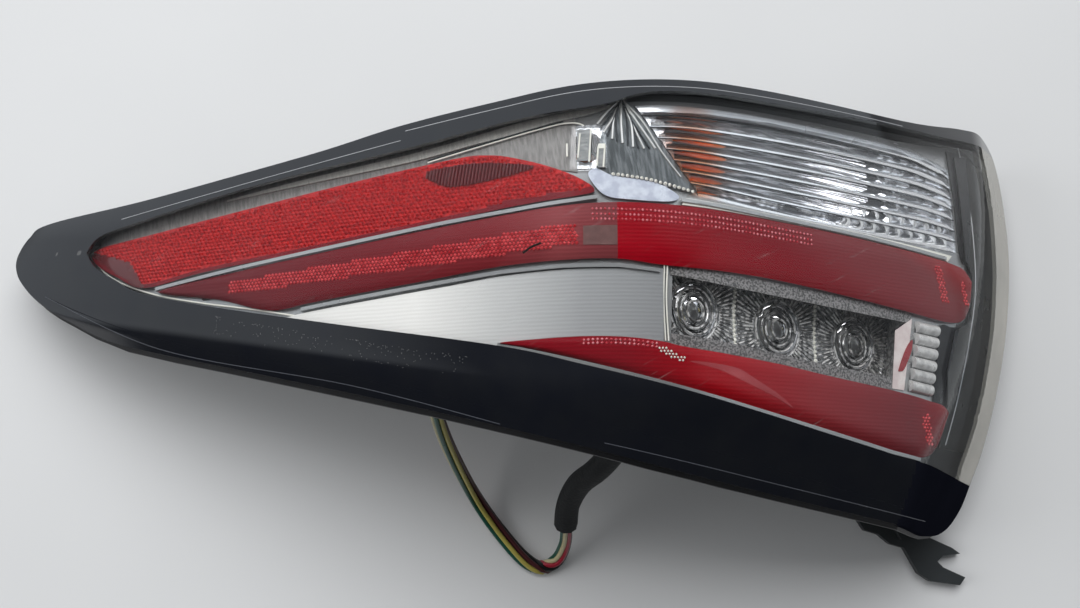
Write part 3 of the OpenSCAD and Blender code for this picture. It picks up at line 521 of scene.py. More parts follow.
def across(lines, count):
    """The two edge lines at the same count of places along x, closer together at both ends."""
    low, high = lines
    s = np.linspace(0, 1, count)
    s = (1 - ENDS_TIGHT) * s + ENDS_TIGHT * (0.5 - 0.5 * np.cos(math.pi * s))
    x = low[0, 0] + (low[-1, 0] - low[0, 0]) * s
    pair = []
    for line in (low, high):
        along = np.maximum.accumulate(line[:, 0] + np.arange(len(line)) * 1e-9)
        pair.append(np.column_stack([x, np.interp(x, along, line[:, 1])]))
    return pair


def spread(points, count):
    """The line through the points at count even steps."""
    line = through(points, 12)
    run = np.concatenate([[0], np.cumsum(np.linalg.norm(np.diff(line, axis=0), axis=1))])
    where = np.linspace(0, run[-1], count)
    return np.column_stack([np.interp(where, run, line[:, k]) for k in (0, 1)])


# Repeats, made by geometry nodes
def modifier_tree(name, inputs):
    tree = bpy.data.node_groups.new(name, "GeometryNodeTree")
    tree.interface.new_socket("Geometry", in_out="INPUT", socket_type="NodeSocketGeometry")
    for label, kind in inputs:
        tree.interface.new_socket(label, in_out="INPUT", socket_type="NodeSocket" + kind)
    tree.interface.new_socket("Geometry", in_out="OUTPUT", socket_type="NodeSocketGeometry")
    return tree, node(tree, "NodeGroupInput").outputs, node(tree, "NodeGroupOutput")


def end_of_tree(tree, given, geometry, leave):
    """Every tree ends in plain geometry with its material set."""
    real = node(tree, "RealizeInstances", links={0: geometry})
    painted = node(tree, "SetMaterial", links={"Geometry": real, "Material": given["Material"]})
    tree.links.new(painted.outputs[0], leave.inputs[0])


def sweep_tree():
    tree, given, leave = modifier_tree("sweep a round bar", [("Radius", "Float"), ("Sides", "Int"),
        ("Material", "Material")])
    path = node(tree, "MeshToCurve", links={"Mesh": given["Geometry"]})
    ring = node(tree, "CurvePrimitiveCircle", links={"Resolution": given["Sides"],
        "Radius": given["Radius"]})
    bar = node(tree, "CurveToMesh", {"Fill Caps": True}, {"Curve": path, "Profile Curve": ring})
    end_of_tree(tree, given, node(tree, "SetShadeSmooth", links={"Geometry": bar}), leave)
    return tree


def stud_tree():
    tree, given, leave = modifier_tree("studs on points", [("Radius", "Float"), ("Height", "Float"),
        ("Sides", "Int"), ("Tilt", "Float"), ("Seed", "Int"), ("Material", "Material")])
    stud = node(tree, "MeshCone", {"Fill Segments": 1}, {"Vertices": given["Sides"],
        "Radius Bottom": given["Radius"], "Depth": given["Height"]})
    tilt = given["Tilt"]
    back = node(tree, "ShaderNodeMath", {1: -1.0}, {0: tilt}, operation="MULTIPLY")
    low = node(tree, "ShaderNodeCombineXYZ", links={"X": back, "Y": back})
    high = node(tree, "ShaderNodeCombineXYZ", links={"X": tilt, "Y": tilt})
    lean = node(tree, "FunctionNodeRandomValue", links={"Min": low, "Max": high, "Seed": given["Seed"]},
        data_type="FLOAT_VECTOR")
    normal = node(tree, "InputNamedAttribute", {"Name": "facing"}, data_type="FLOAT_VECTOR")
    aim = node(tree, "FunctionNodeAlignRotationToVector", links={"Vector": normal.outputs["Attribute"]},
        axis="Z")
    turned = node(tree, "FunctionNodeRotateRotation", links={"Rotation": aim, "Rotate By": lean},
        rotation_space="LOCAL")
    placed = node(tree, "InstanceOnPoints", links={"Points": given["Geometry"], "Instance": stud,
        "Rotation": turned})
    end_of_tree(tree, given, placed, leave)
    return tree


SWEEP, STUD = sweep_tree(), stud_tree()


def grown(name, mesh, tree, sizes):
    """Runs a tree on a mesh and keeps the result as one plain mesh."""
    carrier = bpy.data.objects.new(name + "_points", mesh)
    scene.collection.objects.link(carrier)
    modifier = carrier.modifiers.new("tree", "NODES")
    modifier.node_group = tree
    for item in tree.interface.items_tree:
        if item.in_out == "INPUT" and item.name in sizes:
            modifier[item.identifier] = sizes[item.name]
    bpy.context.view_layer.update()
    seen = carrier.evaluated_get(bpy.context.evaluated_depsgraph_get())
    plain = bpy.data.meshes.new_from_object(seen)
    carrier.modifiers.clear()
    bpy.data.objects.remove(carrier)
    return added(name, plain)


def bars(name, lines, radius, finish, round_sides=8):
    """Round bars along lines, given in millimetres."""
    points, edges = [], []
    for line in lines:
        start = len(points)
        points += [tuple(p) for p in metres(line)]
        edges += [(start + k, start + k + 1) for k in range(len(line) - 1)]
    mesh = bpy.data.meshes.new(name + "_lines")
    mesh.from_pydata(points, edges, [])
    return grown(name, mesh, SWEEP, {"Radius": radius / 1000, "Sides": round_sides,
        "Material": FINISH[finish]})


def studs(name, places, radius, height, sides_of, tilt, seed, finish,
        facing=None):
    mesh = bpy.data.meshes.new(name + "_places")
    mesh.from_pydata([tuple(p) for p in metres(places)], [], [])
    if facing is None:
        facing = upwards(places[:, 0], places[:, 1])
    attribute = mesh.attributes.new("facing", "FLOAT_VECTOR", "POINT")
    attribute.data.foreach_set("vector", facing.astype(np.float32).ravel())
    return grown(name, mesh, STUD, {"Radius": radius / 1000, "Height": height / 1000,
        "Sides": sides_of, "Tilt": tilt, "Seed": seed, "Material": FINISH[finish]})


def upwards(x, y):
    """Direction out of the crowned surface."""
    step = 0.5
    slope_x = (crown(x + step, y) - crown(x - step, y)) / (2 * step)
    slope_y = (crown(x, y + step) - crown(x, y - step)) / (2 * step)
    out = np.column_stack([-slope_x, -slope_y, np.ones_like(slope_x)])
    return out / np.linalg.norm(out, axis=1)[:, None]


def on_form(line, o):
    line = np.asarray(line, float)
    return np.column_stack([line[:, :2], crown(line[:, 0], line[:, 1], o)])


def lying(points, count, o):
    return on_form(spread(points, count), o)


def inside(points, outline):
    """True for each point inside a closed outline."""
    x, y = points[:, 0], points[:, 1]
    hit = np.zeros(len(points), bool)
    ax, ay = outline[-1]
    for bx, by in outline:
        crossing = (ay > y) != (by > y)
        with np.errstate(divide="ignore", invalid="ignore"):
            hit ^= crossing & (x < (bx - ax) * (y - ay) / (by - ay) + ax)
        ax, ay = bx, by
    return hit


def lattice(outline, pitch, margin=0.0):
    """Points of a staggered grid inside an outline."""
    low, high = outline.min(0), outline.max(0)
    rows = np.arange(low[1], high[1], pitch * math.sqrt(3) / 2)
    points = np.array([(x + (k % 2) * pitch / 2, y) for k, y in enumerate(rows)
        for x in np.arange(low[0], high[0], pitch)])
    keep = inside(points, outline)
    for angle in np.arange(0, 2 * math.pi, math.pi / 3):
        keep &= inside(points + margin * np.array([math.cos(angle), math.sin(angle)]), outline)
    return points[keep]


# Clear cover and gloss border, one smooth form
COVER_COLUMNS, WINDOW_ROWS, PANEL_ROWS, TOP_ROWS = 420, 70, 34, 12


def cover_edges():
    low, high = across(sides(OUTLINE), COVER_COLUMNS)
    x = low[:, 0]
    cuts = []
    for points in (WINDOW_LOW, WINDOW_HIGH):
        line = through(points, 8)
        along = np.maximum.accumulate(line[:, 0] + np.arange(len(line)) * 1e-9)
        cuts.append(np.interp(x, along, line[:, 1]))
    (tip_x, tip_y), (end_x, end_y) = WINDOW_TIP, OUTLINE_TIP
    before = x < tip_x
    tip_line = tip_y + (x - tip_x) * (end_y - tip_y) / (end_x - tip_x)
    cut_low = np.clip(np.where(before, tip_line, cuts[0]), low[:, 1], high[:, 1])
    cut_high = np.clip(np.where(before, tip_line, cuts[1]), low[:, 1], high[:, 1])
    return low, np.column_stack([x, cut_low]), np.column_stack([x, cut_high]), high


def rim(line, thick):
    """The wall that drops from the lens edge, as a closed strip along an edge line."""
    along = np.gradient(line, axis=0)
    along /= np.maximum(np.linalg.norm(along, axis=1)[:, None], 1e-9)
    inner = line + thick * np.column_stack([-along[:, 1], along[:, 0]])
    height = form(line[:, 0], line[:, 1])
    points = np.vstack([np.column_stack([plan, height - drop]) for drop in (RIM_TOP, RIM)
        for plan in (line, inner)])
    n = len(line)
    faces = []
    for i in range(n - 1):
        faces += [(i, i + 1, n + i + 1, n + i), (2 * n + i, 3 * n + i, 3 * n + i + 1, 2 * n + i + 1),
            (i, 2 * n + i, 2 * n + i + 1, i + 1), (n + i, n + i + 1, 3 * n + i + 1, 3 * n + i)]
    faces += [(0, n, 3 * n, 2 * n), (n - 1, 3 * n - 1, 4 * n - 1, 2 * n - 1)]
    return points, faces


edge_low, cut_low, cut_high, edge_high = cover_edges()
ring = ring_through(OUTLINE, 8)
in_end = (ring[:, 0] > WALL_X) & (ring[:, 1] > WALL_Y[0]) & (ring[:, 1] < WALL_Y[1])
first = int(np.argmax(in_end & ~np.roll(in_end, 1)))
ring = np.roll(ring, -first, axis=0)
end_count = int(in_end.sum())
right_rim = ring[:end_count + 1]
rest_rim = np.vstack([ring[end_count:], ring[:1]])


def skin_under(x, y):
    return form(x, y, SKIN)


window_points, window_faces = joined(slab(cut_low, cut_high, WINDOW_ROWS, form, skin_under),
    rim(right_rim, SKIN))
centres = face_centres(window_points, window_faces)
# The end wall's band near its foot is painted with a pale glow where the clear wall is seen edge on; the rest
# of the wall is clear end.
from_foot = END_R - np.hypot(centres[:, 0] - END_C[0], centres[:, 1] - END_C[1])
x, y = centres.T[:2]
on_wall = (end_wall(x, y) < crown(x, y)) & (x > WALL_SIDE_X)
cover = piece("clear_cover", window_points, window_faces, ["cover", "painted edge glow", "clear end"],
    "clear_lens", np.where(on_wall, np.where(from_foot < EDGE_GLOW_BAND, 1, 2), 0))
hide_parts("outer_lens")
border_points, border_faces = joined(slab(edge_low, cut_low, PANEL_ROWS, form, skin_under),
    slab(cut_high, edge_high, TOP_ROWS, form, skin_under), rim(rest_rim, SKIN))
centres = face_centres(border_points, border_faces)
x, y = centres.T[:2]
# The end wall at the lower corner takes the darker black without reflection: painted shade
on_wall = (end_wall(x, y) < END_TOP + np.minimum(crown(x, y), panel(x, y))) & (x > WALL_SIDE_X) & (y < 0)
border = piece("gloss_border", border_points, border_faces, ["black", "shaded black end"], "gloss_black",
    on_wall.astype(int))
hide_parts("black_border")

# Painted highlights: a bright line along the cover's upper joint and one along the border's top, and the
# plated edge along the lower joint painted near white; painted reflection lines along the border's lower edge
bars("upper_joint_highlight", [lying([(-206.5, 57), (-162, 62.5), (-110.5, 69.5), (-62, 76.5)], 60,
    -0.1)], 0.2, "pale line")
bars("border_top_highlight", [lying([(-60, 81), (-16, 86.5), (28, 91.6), (93, 95), (174, 97)], 120, 0.1)],
    0.22, "pale line")
# The plated edge along the lower joint is painted near white as its highlight
bars("lower_plated_edge_highlight", [
    lying([(-226.5, 42.4), (-217.8, 32.9), (-204.8, 25.2), (-183.7, 17.4), (-158.9, 11.4),
        (-131.6, 6), (-93, -2.4), (-61, -9)], 120, 8.6),
    lying([(-17, -17.8), (24.7, -28.4), (66.5, -38.8), (112.7, -48.8), (153.9, -57.4),
        (176, -61)], 120, 8.2)], 0.5, "bead")
# Thin painted reflections along the border's lower edge, where its rounded edge mirrors the light
bars("border_low_reflections", [lying([(26, -59.6), (87.1, -72.8), (176, -90.2)], 80, -0.1),
    lying([(-249.9, 22), (-178.6, -10.4), (-82.3, -32.4), (-16.5, -51.2)], 80, -0.1)], 0.16,
    "painted reflection line")
bars("end_bezel_line", [lying([(214.6, 99), (216.2, 73.8), (216.2, 47.9), (214.4, 22.3),
    (208.3, -3.3), (199.3, -33), (191.6, -54.5)], 80, 8.6)], 0.3, "pale line")

# Reflex reflector: a smooth red body under rows of prisms, with a shaded fluted window
REFLEX = [(-226, 42), (-221, 36), (-209, 29), (-192, 21.8), (-158, 26.3), (-106, 30.8), (-58, 36.2),
    (-13, 41.8), (15, 44.6), (23, 47), (15.7, 53), (1.4, 59.6), (-14.7, 65.2), (-24, 66.9), (-32.7, 67.2),
    (-51, 65.4), (-74.7, 62.7), (-124.7, 56.5), (-179, 50), (-205, 47.3), (-221, 45.5)]
FLUTE_WINDOW = ring_through([(-52, 61), (-40, 53.5), (-22, 54.5), (-2, 58.5), (-12, 61.5),
    (-28, 63.5), (-42, 63.2)], 6)
TIP_SHADE = np.array([(-232, 46), (-188, 16), (-202.6, 36.5)])
REFLEX_TOP = ON_BEZEL - REFLEX_T
REFLEX_EDGE = 2.8
reflex_low, reflex_high = across(sides(REFLEX), 240)
reflex_points, reflex_faces = slab(reflex_low, reflex_high, 14, at_depth(REFLEX_TOP + 0.3),
    at_depth(ON_BEZEL))
centres = face_centres(reflex_points, reflex_faces)


def reflex_edge(points):
    """True for places in the smooth strip along the reflector's lower edge."""
    return points[:, 1] < np.interp(points[:, 0], reflex_low[:, 0], reflex_low[:, 1]) + REFLEX_EDGE


reflex = piece("reflex_body", reflex_points, reflex_faces, ["reflex", "reflex dark", "reflex edge"],
    "reflex_red", np.where(inside(centres, TIP_SHADE), 1, np.where(reflex_edge(centres), 2, 0)))
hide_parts("reflex_reflector")
prism_places = lattice(ring_through(REFLEX, 6), 2.0, 1.1)
prism_places = prism_places[~inside(prism_places, FLUTE_WINDOW) & ~inside(prism_places, TIP_SHADE)
    & ~reflex_edge(prism_places)]
studs("reflex_prisms", on_form(prism_places, REFLEX_TOP + 0.25), 1.12, 0.75, 6, 0.16, 3, "reflex")
flute_x = np.arange(-51, -2, 1.5)
flutes = []
for x in flute_x:
    line = np.column_stack([np.full(40, x) + np.linspace(0, 2, 40), np.linspace(52, 66, 40)])
    line = line[inside(line, FLUTE_WINDOW)]
    if len(line) > 3:
        flutes.append(on_form(line, REFLEX_TOP - 0.1))
bars("reflex_window_flutes", flutes, 0.7, "reflex dark")

# Red blades: crowned bodies, with lit prisms over the light guides
UPPER_RED = [(-184, 19), (-150, 12), (-124, 4.8), (-104, 6.6), (-85, 8.6), (-49, 12.4), (-17, 16),
    (10, 17), (33, 17), (54, 14.5), (101, 12.5), (167, 6), (197, 3.5), (207, 9), (210, 20),
    (209, 29), (197, 33), (151, 36.5), (102, 39), (58, 41), (17, 41.2), (-41, 36), (-85, 31),
    (-140, 24.8)]
LOWER_RED = [(-17, -16.9), (0, -20.9), (25, -27.2), (66, -37.4), (112, -47.8), (156, -57.6), (176, -61),
    (184.9, -56.9), (190.4, -46), (191.4, -37.6), (180.4, -34.7), (164.1, -32), (126.9, -27.5),
    (101.1, -23.9), (62.4, -19.7), (50.2, -17.4), (34.9, -15.8), (18.4, -15.4), (0, -15.8)]
BLADE_BACK = 9.7
REAR_BLADE_X = 32.3


def blade_slab(outline, count, rows, flat):
    """A blade whose face rolls down towards both of its long edges."""
    low, high = across(sides(outline), count)
    points, faces = slab(low, high, rows, at_depth(BLADE_IN), at_depth(BLADE_BACK))
    share = np.tile(np.linspace(-1, 1, rows + 1), count)
    upper = count * (rows + 1)
    points[:upper, 2] -= flat * np.abs(share) ** 4
    return points, faces


upper_points, upper_faces = blade_slab(UPPER_RED, 300, 16, 1.8)
behind = face_centres(upper_points, upper_faces)[:, 0] > REAR_BLADE_X
upper_blade = piece("upper_blade", upper_points, upper_faces, ["upper blade", "rear blade"], "red_lens",
    behind.astype(int))
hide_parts("upper_red_lens")
lower_blade = piece("lower_blade", *blade_slab(LOWER_RED, 200, 16, 1.8), ["lower blade"], "red_lens")
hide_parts("lower_red_lens")


def strip(path, width):
    path = np.asarray(path, float)
    along = np.gradient(path, axis=0)
    along /= np.linalg.norm(along, axis=1)[:, None]
    side = width / 2 * np.column_stack([along[:, 1], -along[:, 0]])
    return np.vstack([path + side, (path - side)[::-1]])


lit_path = spread([(-145.2, 16.4), (-108.6, 18.6), (-84.5, 20), (-61.2, 21.6), (-34, 23.6), (-8, 25.8),
    (15.4, 27.7)], 60)
lit_width = np.linspace(6.0, 9.5, 60)[:, None]
lit_places = lattice(strip(lit_path, lit_width), 1.7)
studs("lit_prisms", on_form(lit_places, BLADE_IN - 0.1), 0.95, 0.7, 4, 0.22, 5, "blade bright")
end_places = np.vstack([lattice(strip(spread([(189, 30), (193, 12)], 12), 4.5), 1.7),
    lattice(strip(spread([(204, 24), (206, 12)], 12), 2.5), 1.7),
    lattice(strip(spread([(178, -42), (181, -56)], 12), 4.0), 1.7)])
studs("lit_end_prisms", on_form(end_places, BLADE_IN - 0.1), 0.95, 0.7, 4, 0.22, 6, "blade bright")


def beads(lines, pitch, o):
    return np.vstack([lying(line, max(int(run_length(np.asarray(line, float)) / pitch), 3), o)
        for line in lines])


def run_length(points):
    return float(np.linalg.norm(np.diff(points, axis=0), axis=1).sum())


row_lines = [[(22, 38.4 - d), (50, 37.6 - d), (85, 36.2 - d), (120, 34.4 - d)] for d in (0, 2.3, 4.4)]
low_rows = [[(18, -17.2 - d), (25, -17 - d), (37, -17.4 - d), (48, -18.6 - d)] for d in (0, 1.5)]
# Rows of studs on the blades, painted pale pink as their highlights
studs("blade_rows_highlight", beads(row_lines + low_rows, 1.7, BLADE_IN - 0.05), 0.62, 0.6, 4, 0.2, 7,
    "blade dot highlight")


def facet(name, outline, o, thick, finish, slot="bright_bezel", count=60, rows=6):
    """A thin slab under an outline, o inside the surface."""
    return piece(name, *slab(*across(sides(outline), count), rows, at_depth(o), at_depth(o + thick)),
        [finish], slot)


def sheet(name, low, high, count, rows, top, under, finish, slot="bright_bezel"):
    """A thin slab between two edge lines, from one depth to another."""
    return piece(name, *slab(spread(low, count), spread(high, count), rows, at_depth(top), at_depth(under)),
        [finish], slot)


sheet("guide_end_window", [(18, 22.8), (32.2, 22.6)], [(18, 31), (32.2, 31)], 8, 4, BLADE_IN - 0.1,
    BLADE_IN + 0.5, "blade window", "red_lens")
facet("lower_blade_facet", [(61.9, -25.5), (74.9, -28.6), (87.4, -33.3), (100.9, -38.8), (108.5, -42.6),
    (102.3, -37.6), (91.6, -31.8), (81.2, -27)], BLADE_IN - 0.1, 0.5, "blade pale", "red_lens")
studs("lit_corner_prisms", on_form(lattice(strip(spread([(49, -20.4), (59.5, -25.4)], 12), 2.6), 1.4),
    BLADE_IN - 0.15), 0.6, 0.6, 4, 0.5, 12, "bead")

# Black mask over the bezel's end, with the ribbed block and the pale web beside the stop lamp
MASK_LEFT = [(205.6, 95), (206, 70), (206.4, 38.4), (211.5, 33), (213, 20), (209.5, 5), (198, 1.8),
    (190.2, 1), (187, -18), (184.6, -35), (185.8, -48), (182, -59), (176, -63.5)]
MASK_RIGHT = [(236, 97), (241, 75), (243, 45), (243, 30), (242.5, 20), (240, 5), (238, -5), (235.5, -14),
    (231, -28), (226, -42), (221, -54), (215, -64), (212, -70)]
piece("end_mask", *slab(spread(MASK_LEFT, 120), spread(MASK_RIGHT, 120), 24,
    lambda x, y: form(x, y, 9.0), lambda x, y: form(x, y, 9.8)), ["inner black"], "gloss_black")
BLOCK = np.array([(170.3, -31), (182.5, -32.5), (188.5, 1.6), (176.3, 2.4)], float)
block_ends = [(BLOCK[0] + (BLOCK[3] - BLOCK[0]) * k / 12, BLOCK[1] + (BLOCK[2] - BLOCK[1]) * k / 12)
    for k in range(1, 12, 2)]
block = sheet("ribbed_base", [BLOCK[0], BLOCK[3]], [BLOCK[1], BLOCK[2]], 20, 6, 9.6, 10.4, "smoke")
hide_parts("ribbed_reflector")
bars("block_ribs", [lying([a, b], 12, 9.8) for a, b in block_ends], 2.75, "block rib",
    20)
sheet("stop_end_web", [(163.7, -3.5), (161, -30.3)], [(173.7, 3.2), (167.7, -30.7)], 20, 4, 9.2, 9.9, "web")
facet("end_web_facet", [(164.9, -21), (165.7, -22.2), (168.2, -20.7), (172.4, -12.4), (173.2, -6.9),
    (169.3, -11.3)], 8.9, 0.4, "blade pale", "bright_bezel", 24, 3)
for name, low, high in (
        ("stop_lower_edge", [(54.6, -18.9), (62.9, -20.6), (102, -24.9), (128.1, -28.3), (163.5, -32.5)],
            [(54.6, -13.8), (83, -16.6), (120.1, -21.6), (160.5, -25.2)]),
        ("stop_upper_edge", [(54.6, 11), (84, 7.5), (131.2, 3.4), (172, 0.8)],
            [(54.6, 15.6), (68.4, 15.2), (84.1, 12.8), (117.1, 10.5), (174, 5.6)])):
    sheet(name, low, high, 80, 3, 9.3, 9.9, "stop edge", "clear_optic")
bars("stop_frame_line", [lying([(53.3, 15), (52.6, 0), (53.3, -17)], 20, 8.6),
    lying([(52, 15), (51.4, 0), (52, -17)], 20, 8.6)], 0.35, "bead")

# Side optic: two grey columns with bright edges, a pale square on the narrow one, and the ledge above it
for name, left, right, low, high in (("side_column_wide", 15.8, 21.8, 60.2, 74.6),
        ("side_column_narrow", 24.6, 27.9, 57, 67.5)):
    sheet(name, [(left, low), (right, low)], [(left, high), (right, high)], 8, 6, 6.3, 7.4, "optic grey",
        "clear_optic")
bars("side_flutes", [lying(line, 12, 6.2) for line in ([(11.5, 68.3), (11.5, 62.3)],
    [(17.1, 72.6), (16.1, 61.5)], [(21.8, 74.3), (20.8, 59.5)], [(27.6, 66.7), (26.8, 57)],
    [(24.7, 66.3), (24.1, 57.6)])], 0.42, "bead", 10)
sheet("side_square", [(24.7, 65.5), (27.7, 65.5)], [(24.7, 67.7), (27.7, 67.7)], 6, 3, 5.9, 6.5, "bead",
    "clear_optic")
# A grey sheet over the plated bezel above the reflex reflector, its colour a painted reflection
sheet("side_bezel_painted_reflection", [(-221.5, 45), (-180.4, 49.6), (-125.5, 56), (-75.2, 62), (-51.4, 65), (-32.9, 66.5),
    (-10, 61), (15.8, 56)], [(-222.5, 49.4), (-209.3, 57.2), (-176.5, 62), (-133.4, 67.5), (-75.8, 75),
    (-44.8, 79), (-8.8, 83.5), (15.2, 85.5)], 100, 10, 9.3, 9.9, "side web")
sheet("upper_ledge", [(-150, 61), (-110, 64), (-60, 68.2), (-30, 73), (-8.7, 76.5), (9.9, 80.4), (20.7, 82.3),
    (31.1, 85.8)], [(-150, 61.6), (-110, 66.5), (-60, 72), (-30, 77), (-8.7, 81.2), (8.7, 83.3),
    (21.4, 85.3), (32.8, 87.8)], 60, 5, 8.2, 9.2, "ledge")
bars("ledge_line", [lying([(-50, 67), (-30, 71), (-8.7, 75.2), (2.2, 77.2), (9.9, 78.5), (15.9, 78.3),
    (18.9, 76.9)], 60, 8.0)], 0.35, "bead")
bars("ledge_gap", [lying([(-50, 68), (-30, 72), (-8.7, 76.2), (2.2, 78.2), (9.9, 79.5)], 60, 8.3)], 0.4,
    "smoke")

# Satin panel, with painted light: brightest at its left end, darker towards the right
SATIN = [(-115, 1), (-95, -3.4), (-60, -10.2), (-20, -18), (8, -18), (45, -19), (50.6, -19.2), (51.2, -17),
    (51.2, -3), (51.2, 12), (50.4, 13.2), (35, 13), (10, 13), (-17, 11.8), (-40, 9.2), (-66, 6.6)]
satin = facet("satin_plate", SATIN, ON_BEZEL - SATIN_T, SATIN_T, "satin", "satin_silver", 160, 12)
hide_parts("satin_panel")

# Fan of plated pleats, painted alternately lit and shaded, over a brushed web, and the pale patch below it
WEB = [(24.5, 56), (40, 53), (52, 50.6), (66.5, 48), (61.5, 55), (56.3, 62.8), (48.5, 74), (42, 83.6),
    (36.5, 89.3), (31, 86), (27.5, 77)]
facet("brushed_web", WEB, 8.3, 0.8, "brushed")
FAN_TOP, FAN_PLEATS = (35.2, 89.6), 13
fan_ends = spread([(24.5, 77.5), (28.5, 72), (34.2, 68.9), (42, 66.2), (49.3, 66.4)], FAN_PLEATS)
pleats = [lying([FAN_TOP, (0.5 * (FAN_TOP[0] + x) + 1.5 * math.sin(k), 0.5 * (FAN_TOP[1] + y) + 1),
    (x, y)], 20, 8.1 - 0.2 * (k % 2)) for k, (x, y) in enumerate(fan_ends)]
# Alternate pleats are painted lit and shaded
bars("lit_pleats", pleats[::2], 0.6, "rib", 6)
bars("shaded_pleats", pleats[1::2], 0.45, "pleat shade", 6)
bars("fan_edge", [lying([FAN_TOP, (44, 79), (52, 65), (60, 54)], 30, 8.0)], 0.45, "rib",
    6)
facet("pale_patch", [(20.5, 54), (27, 45.2), (38, 43), (54.1, 42.6), (59, 45), (52.6, 49.4),
    (44.9, 51.6), (31, 53.6), (24, 57)], 7.9, 0.9, "patch")
studs("patch_beads", beads([[(31, 54.2), (37.2, 53.4), (45, 52.2), (53, 50.4), (61, 48.6), (65, 47.6)]],
    1.9, 7.4), 0.85, 1.0, 8, 0.3, 8, "bead")

# Turn lamp: fluted inner lens over a reflector with painted streaks of reflection, with chevrons at its foot
FLUTES, FLUTE_STEPS, FLUTE_COLUMNS, FLUTE_HEIGHT = 8, 12, 150, 2.2
TURN_FOOT = [(67.5, 46.5), (102, 42.8), (150, 40.3), (203.5, 39.5)]
TURN_TOP = [(40.5, 86.4), (52, 87.4), (70, 88), (103, 89), (172, 89), (190, 87.3), (204.5, 84)]


def fluted():
    """The turn lens as a slab whose face is a row of rounded flutes."""
    rows = FLUTES * FLUTE_STEPS
    low, high = spread(TURN_FOOT, FLUTE_COLUMNS), spread(TURN_TOP, FLUTE_COLUMNS)
    share = np.linspace(0, 1, rows + 1)
    plan = (low[:, None] + (high - low)[:, None] * share[None, :, None]).reshape(-1, 2)
    lift = np.tile(FLUTE_HEIGHT * np.abs(np.sin(math.pi * share * FLUTES)) ** 0.6, FLUTE_COLUMNS)
    end = np.repeat(np.clip((1 - np.linspace(0, 1, FLUTE_COLUMNS)) / 0.03, 0, 1) ** 0.5, rows + 1)
    x, y = plan[:, 0], plan[:, 1]
    upper = np.column_stack([plan, crown(x, y, ON_BEZEL - 1.2) + lift * end])
    lower = np.column_stack([plan, crown(x, y, ON_BEZEL)])
    return np.vstack([upper, lower]), shell_faces(FLUTE_COLUMNS, rows)


low, high = spread(TURN_FOOT, 80), spread(TURN_TOP, 80)
# Dark bars in the creases between the flutes are painted shade
bars("flute_root_shade", [on_form(low + (high - low) * k / FLUTES, ON_BEZEL - 1.5) for k in range(1, FLUTES)],
    0.3, "smoke", 6)
turn_lens = piece("turn_flutes", *fluted(), ["turn optic"], "clear_optic")
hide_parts("turn_inner_lens")
bars("turn_chevrons", [on_form([(x, 39.8), (x + 7, 44.5), (x + 1, 50.5)], 11.9)
    for x in 134 + 7.2 * np.arange(9)], 0.9, "rib")
sheet("turn_foot_ledge", [(60, 41.4), (102, 39.5), (150, 37.1), (197, 33.7)], [(62, 44.5), (102, 42),
    (150, 39.6), (200, 37)], 80, 3, 7.5, 9.4, "bead")
bars("turn_foot_rib", [lying([(60, 43.4), (102, 40.7), (150, 38.2), (196, 34.9)], 80, 8.8)],
    1.0, "rib")

# Stop lamp: rings on each collimator, fine flutes between them, beads at the cell edges
CUPS = [(-47 + 49 * i, 3 - 3.5 * i) for i in range(3)]
STOP_PLAN = np.array([(-60, -10.5), (71, -23.5), (78, 11), (-59, 18.5)], float)
STOP_FACE = 2.9


def stop_place(points):
    """Carries points from the stop lamp's tilted frame to the lamp's."""
    p = np.asarray(points, float)
    tilt = math.radians(STOP_TILT)
    return np.column_stack([STOP_C[0] + p[:, 0] * math.cos(tilt) + p[:, 2] * math.sin(tilt),
        STOP_C[1] + p[:, 1], STOP_C[2] - p[:, 0] * math.sin(tilt) + p[:, 2] * math.cos(tilt)])


turns = np.linspace(0, 2 * math.pi, 49)
rings = [stop_place(np.column_stack([cx + r * np.cos(turns), cy + r * np.sin(turns),
    np.full(49, STOP_FACE + lift)])) for cx, cy in CUPS
    for r, lift in ((4.5, 1.4), (7.5, 0.6), (10.2, 0.8), (13.2, 0.1))]
bars("collimator_rings", rings, 0.55, "stop rib")
spokes = []
for cx, cy in CUPS:
    for angle in np.arange(0, 2 * math.pi, math.pi / 30):
        r = np.linspace(15, 31, 30)
        line = np.column_stack([cx + r * math.cos(angle), cy + r * math.sin(angle) * 0.8])
        near = np.abs(line[:, 0] - cx) < 24
        line = line[near & inside(line, STOP_PLAN)]
        if len(line) > 4:
            spokes.append(stop_place(np.column_stack([line, np.full(len(line), STOP_FACE - 0.1)])))
bars("stop_flutes", spokes, 0.6, "stop rib", 6)
cell_beads = np.vstack([stop_place(np.column_stack([np.full(16, cx + 24.5) - 1.5 * np.sin(
    np.linspace(0, math.pi, 16)), np.linspace(cy - 19, cy + 13, 16), np.full(16, STOP_FACE)]))
    for cx, cy in CUPS[:2]])
tilt = math.radians(STOP_TILT)
studs("stop_cell_beads", cell_beads, 1.2, 1.4, 8, 0.2, 9, "bead",
    np.tile([math.sin(tilt), 0, math.cos(tilt)], (len(cell_beads), 1)))

# Wear that the photo shows: a dark scuff on the cover and fine dust along the border
bars("cover_scuff", [lying([(-7.1, 19.4), (-3.7, 21.7), (0.4, 23.1)], 8, -0.05)], 0.45,
    "scuff", 6)
SPECKS = 170
scatter = np.random.default_rng(21)
share = scatter.random(SPECKS)
dust_line = spread([(-150, 3), (-110, -6.5), (-70, -15), (-30, -23)], 200)[(share * 199).astype(int)]
studs("border_dust", on_form(dust_line - np.column_stack([np.zeros(SPECKS), scatter.random(SPECKS) ** 2 * 9]),
    -0.02), 0.14, 0.06, 6, 0.2, 22, "dust")


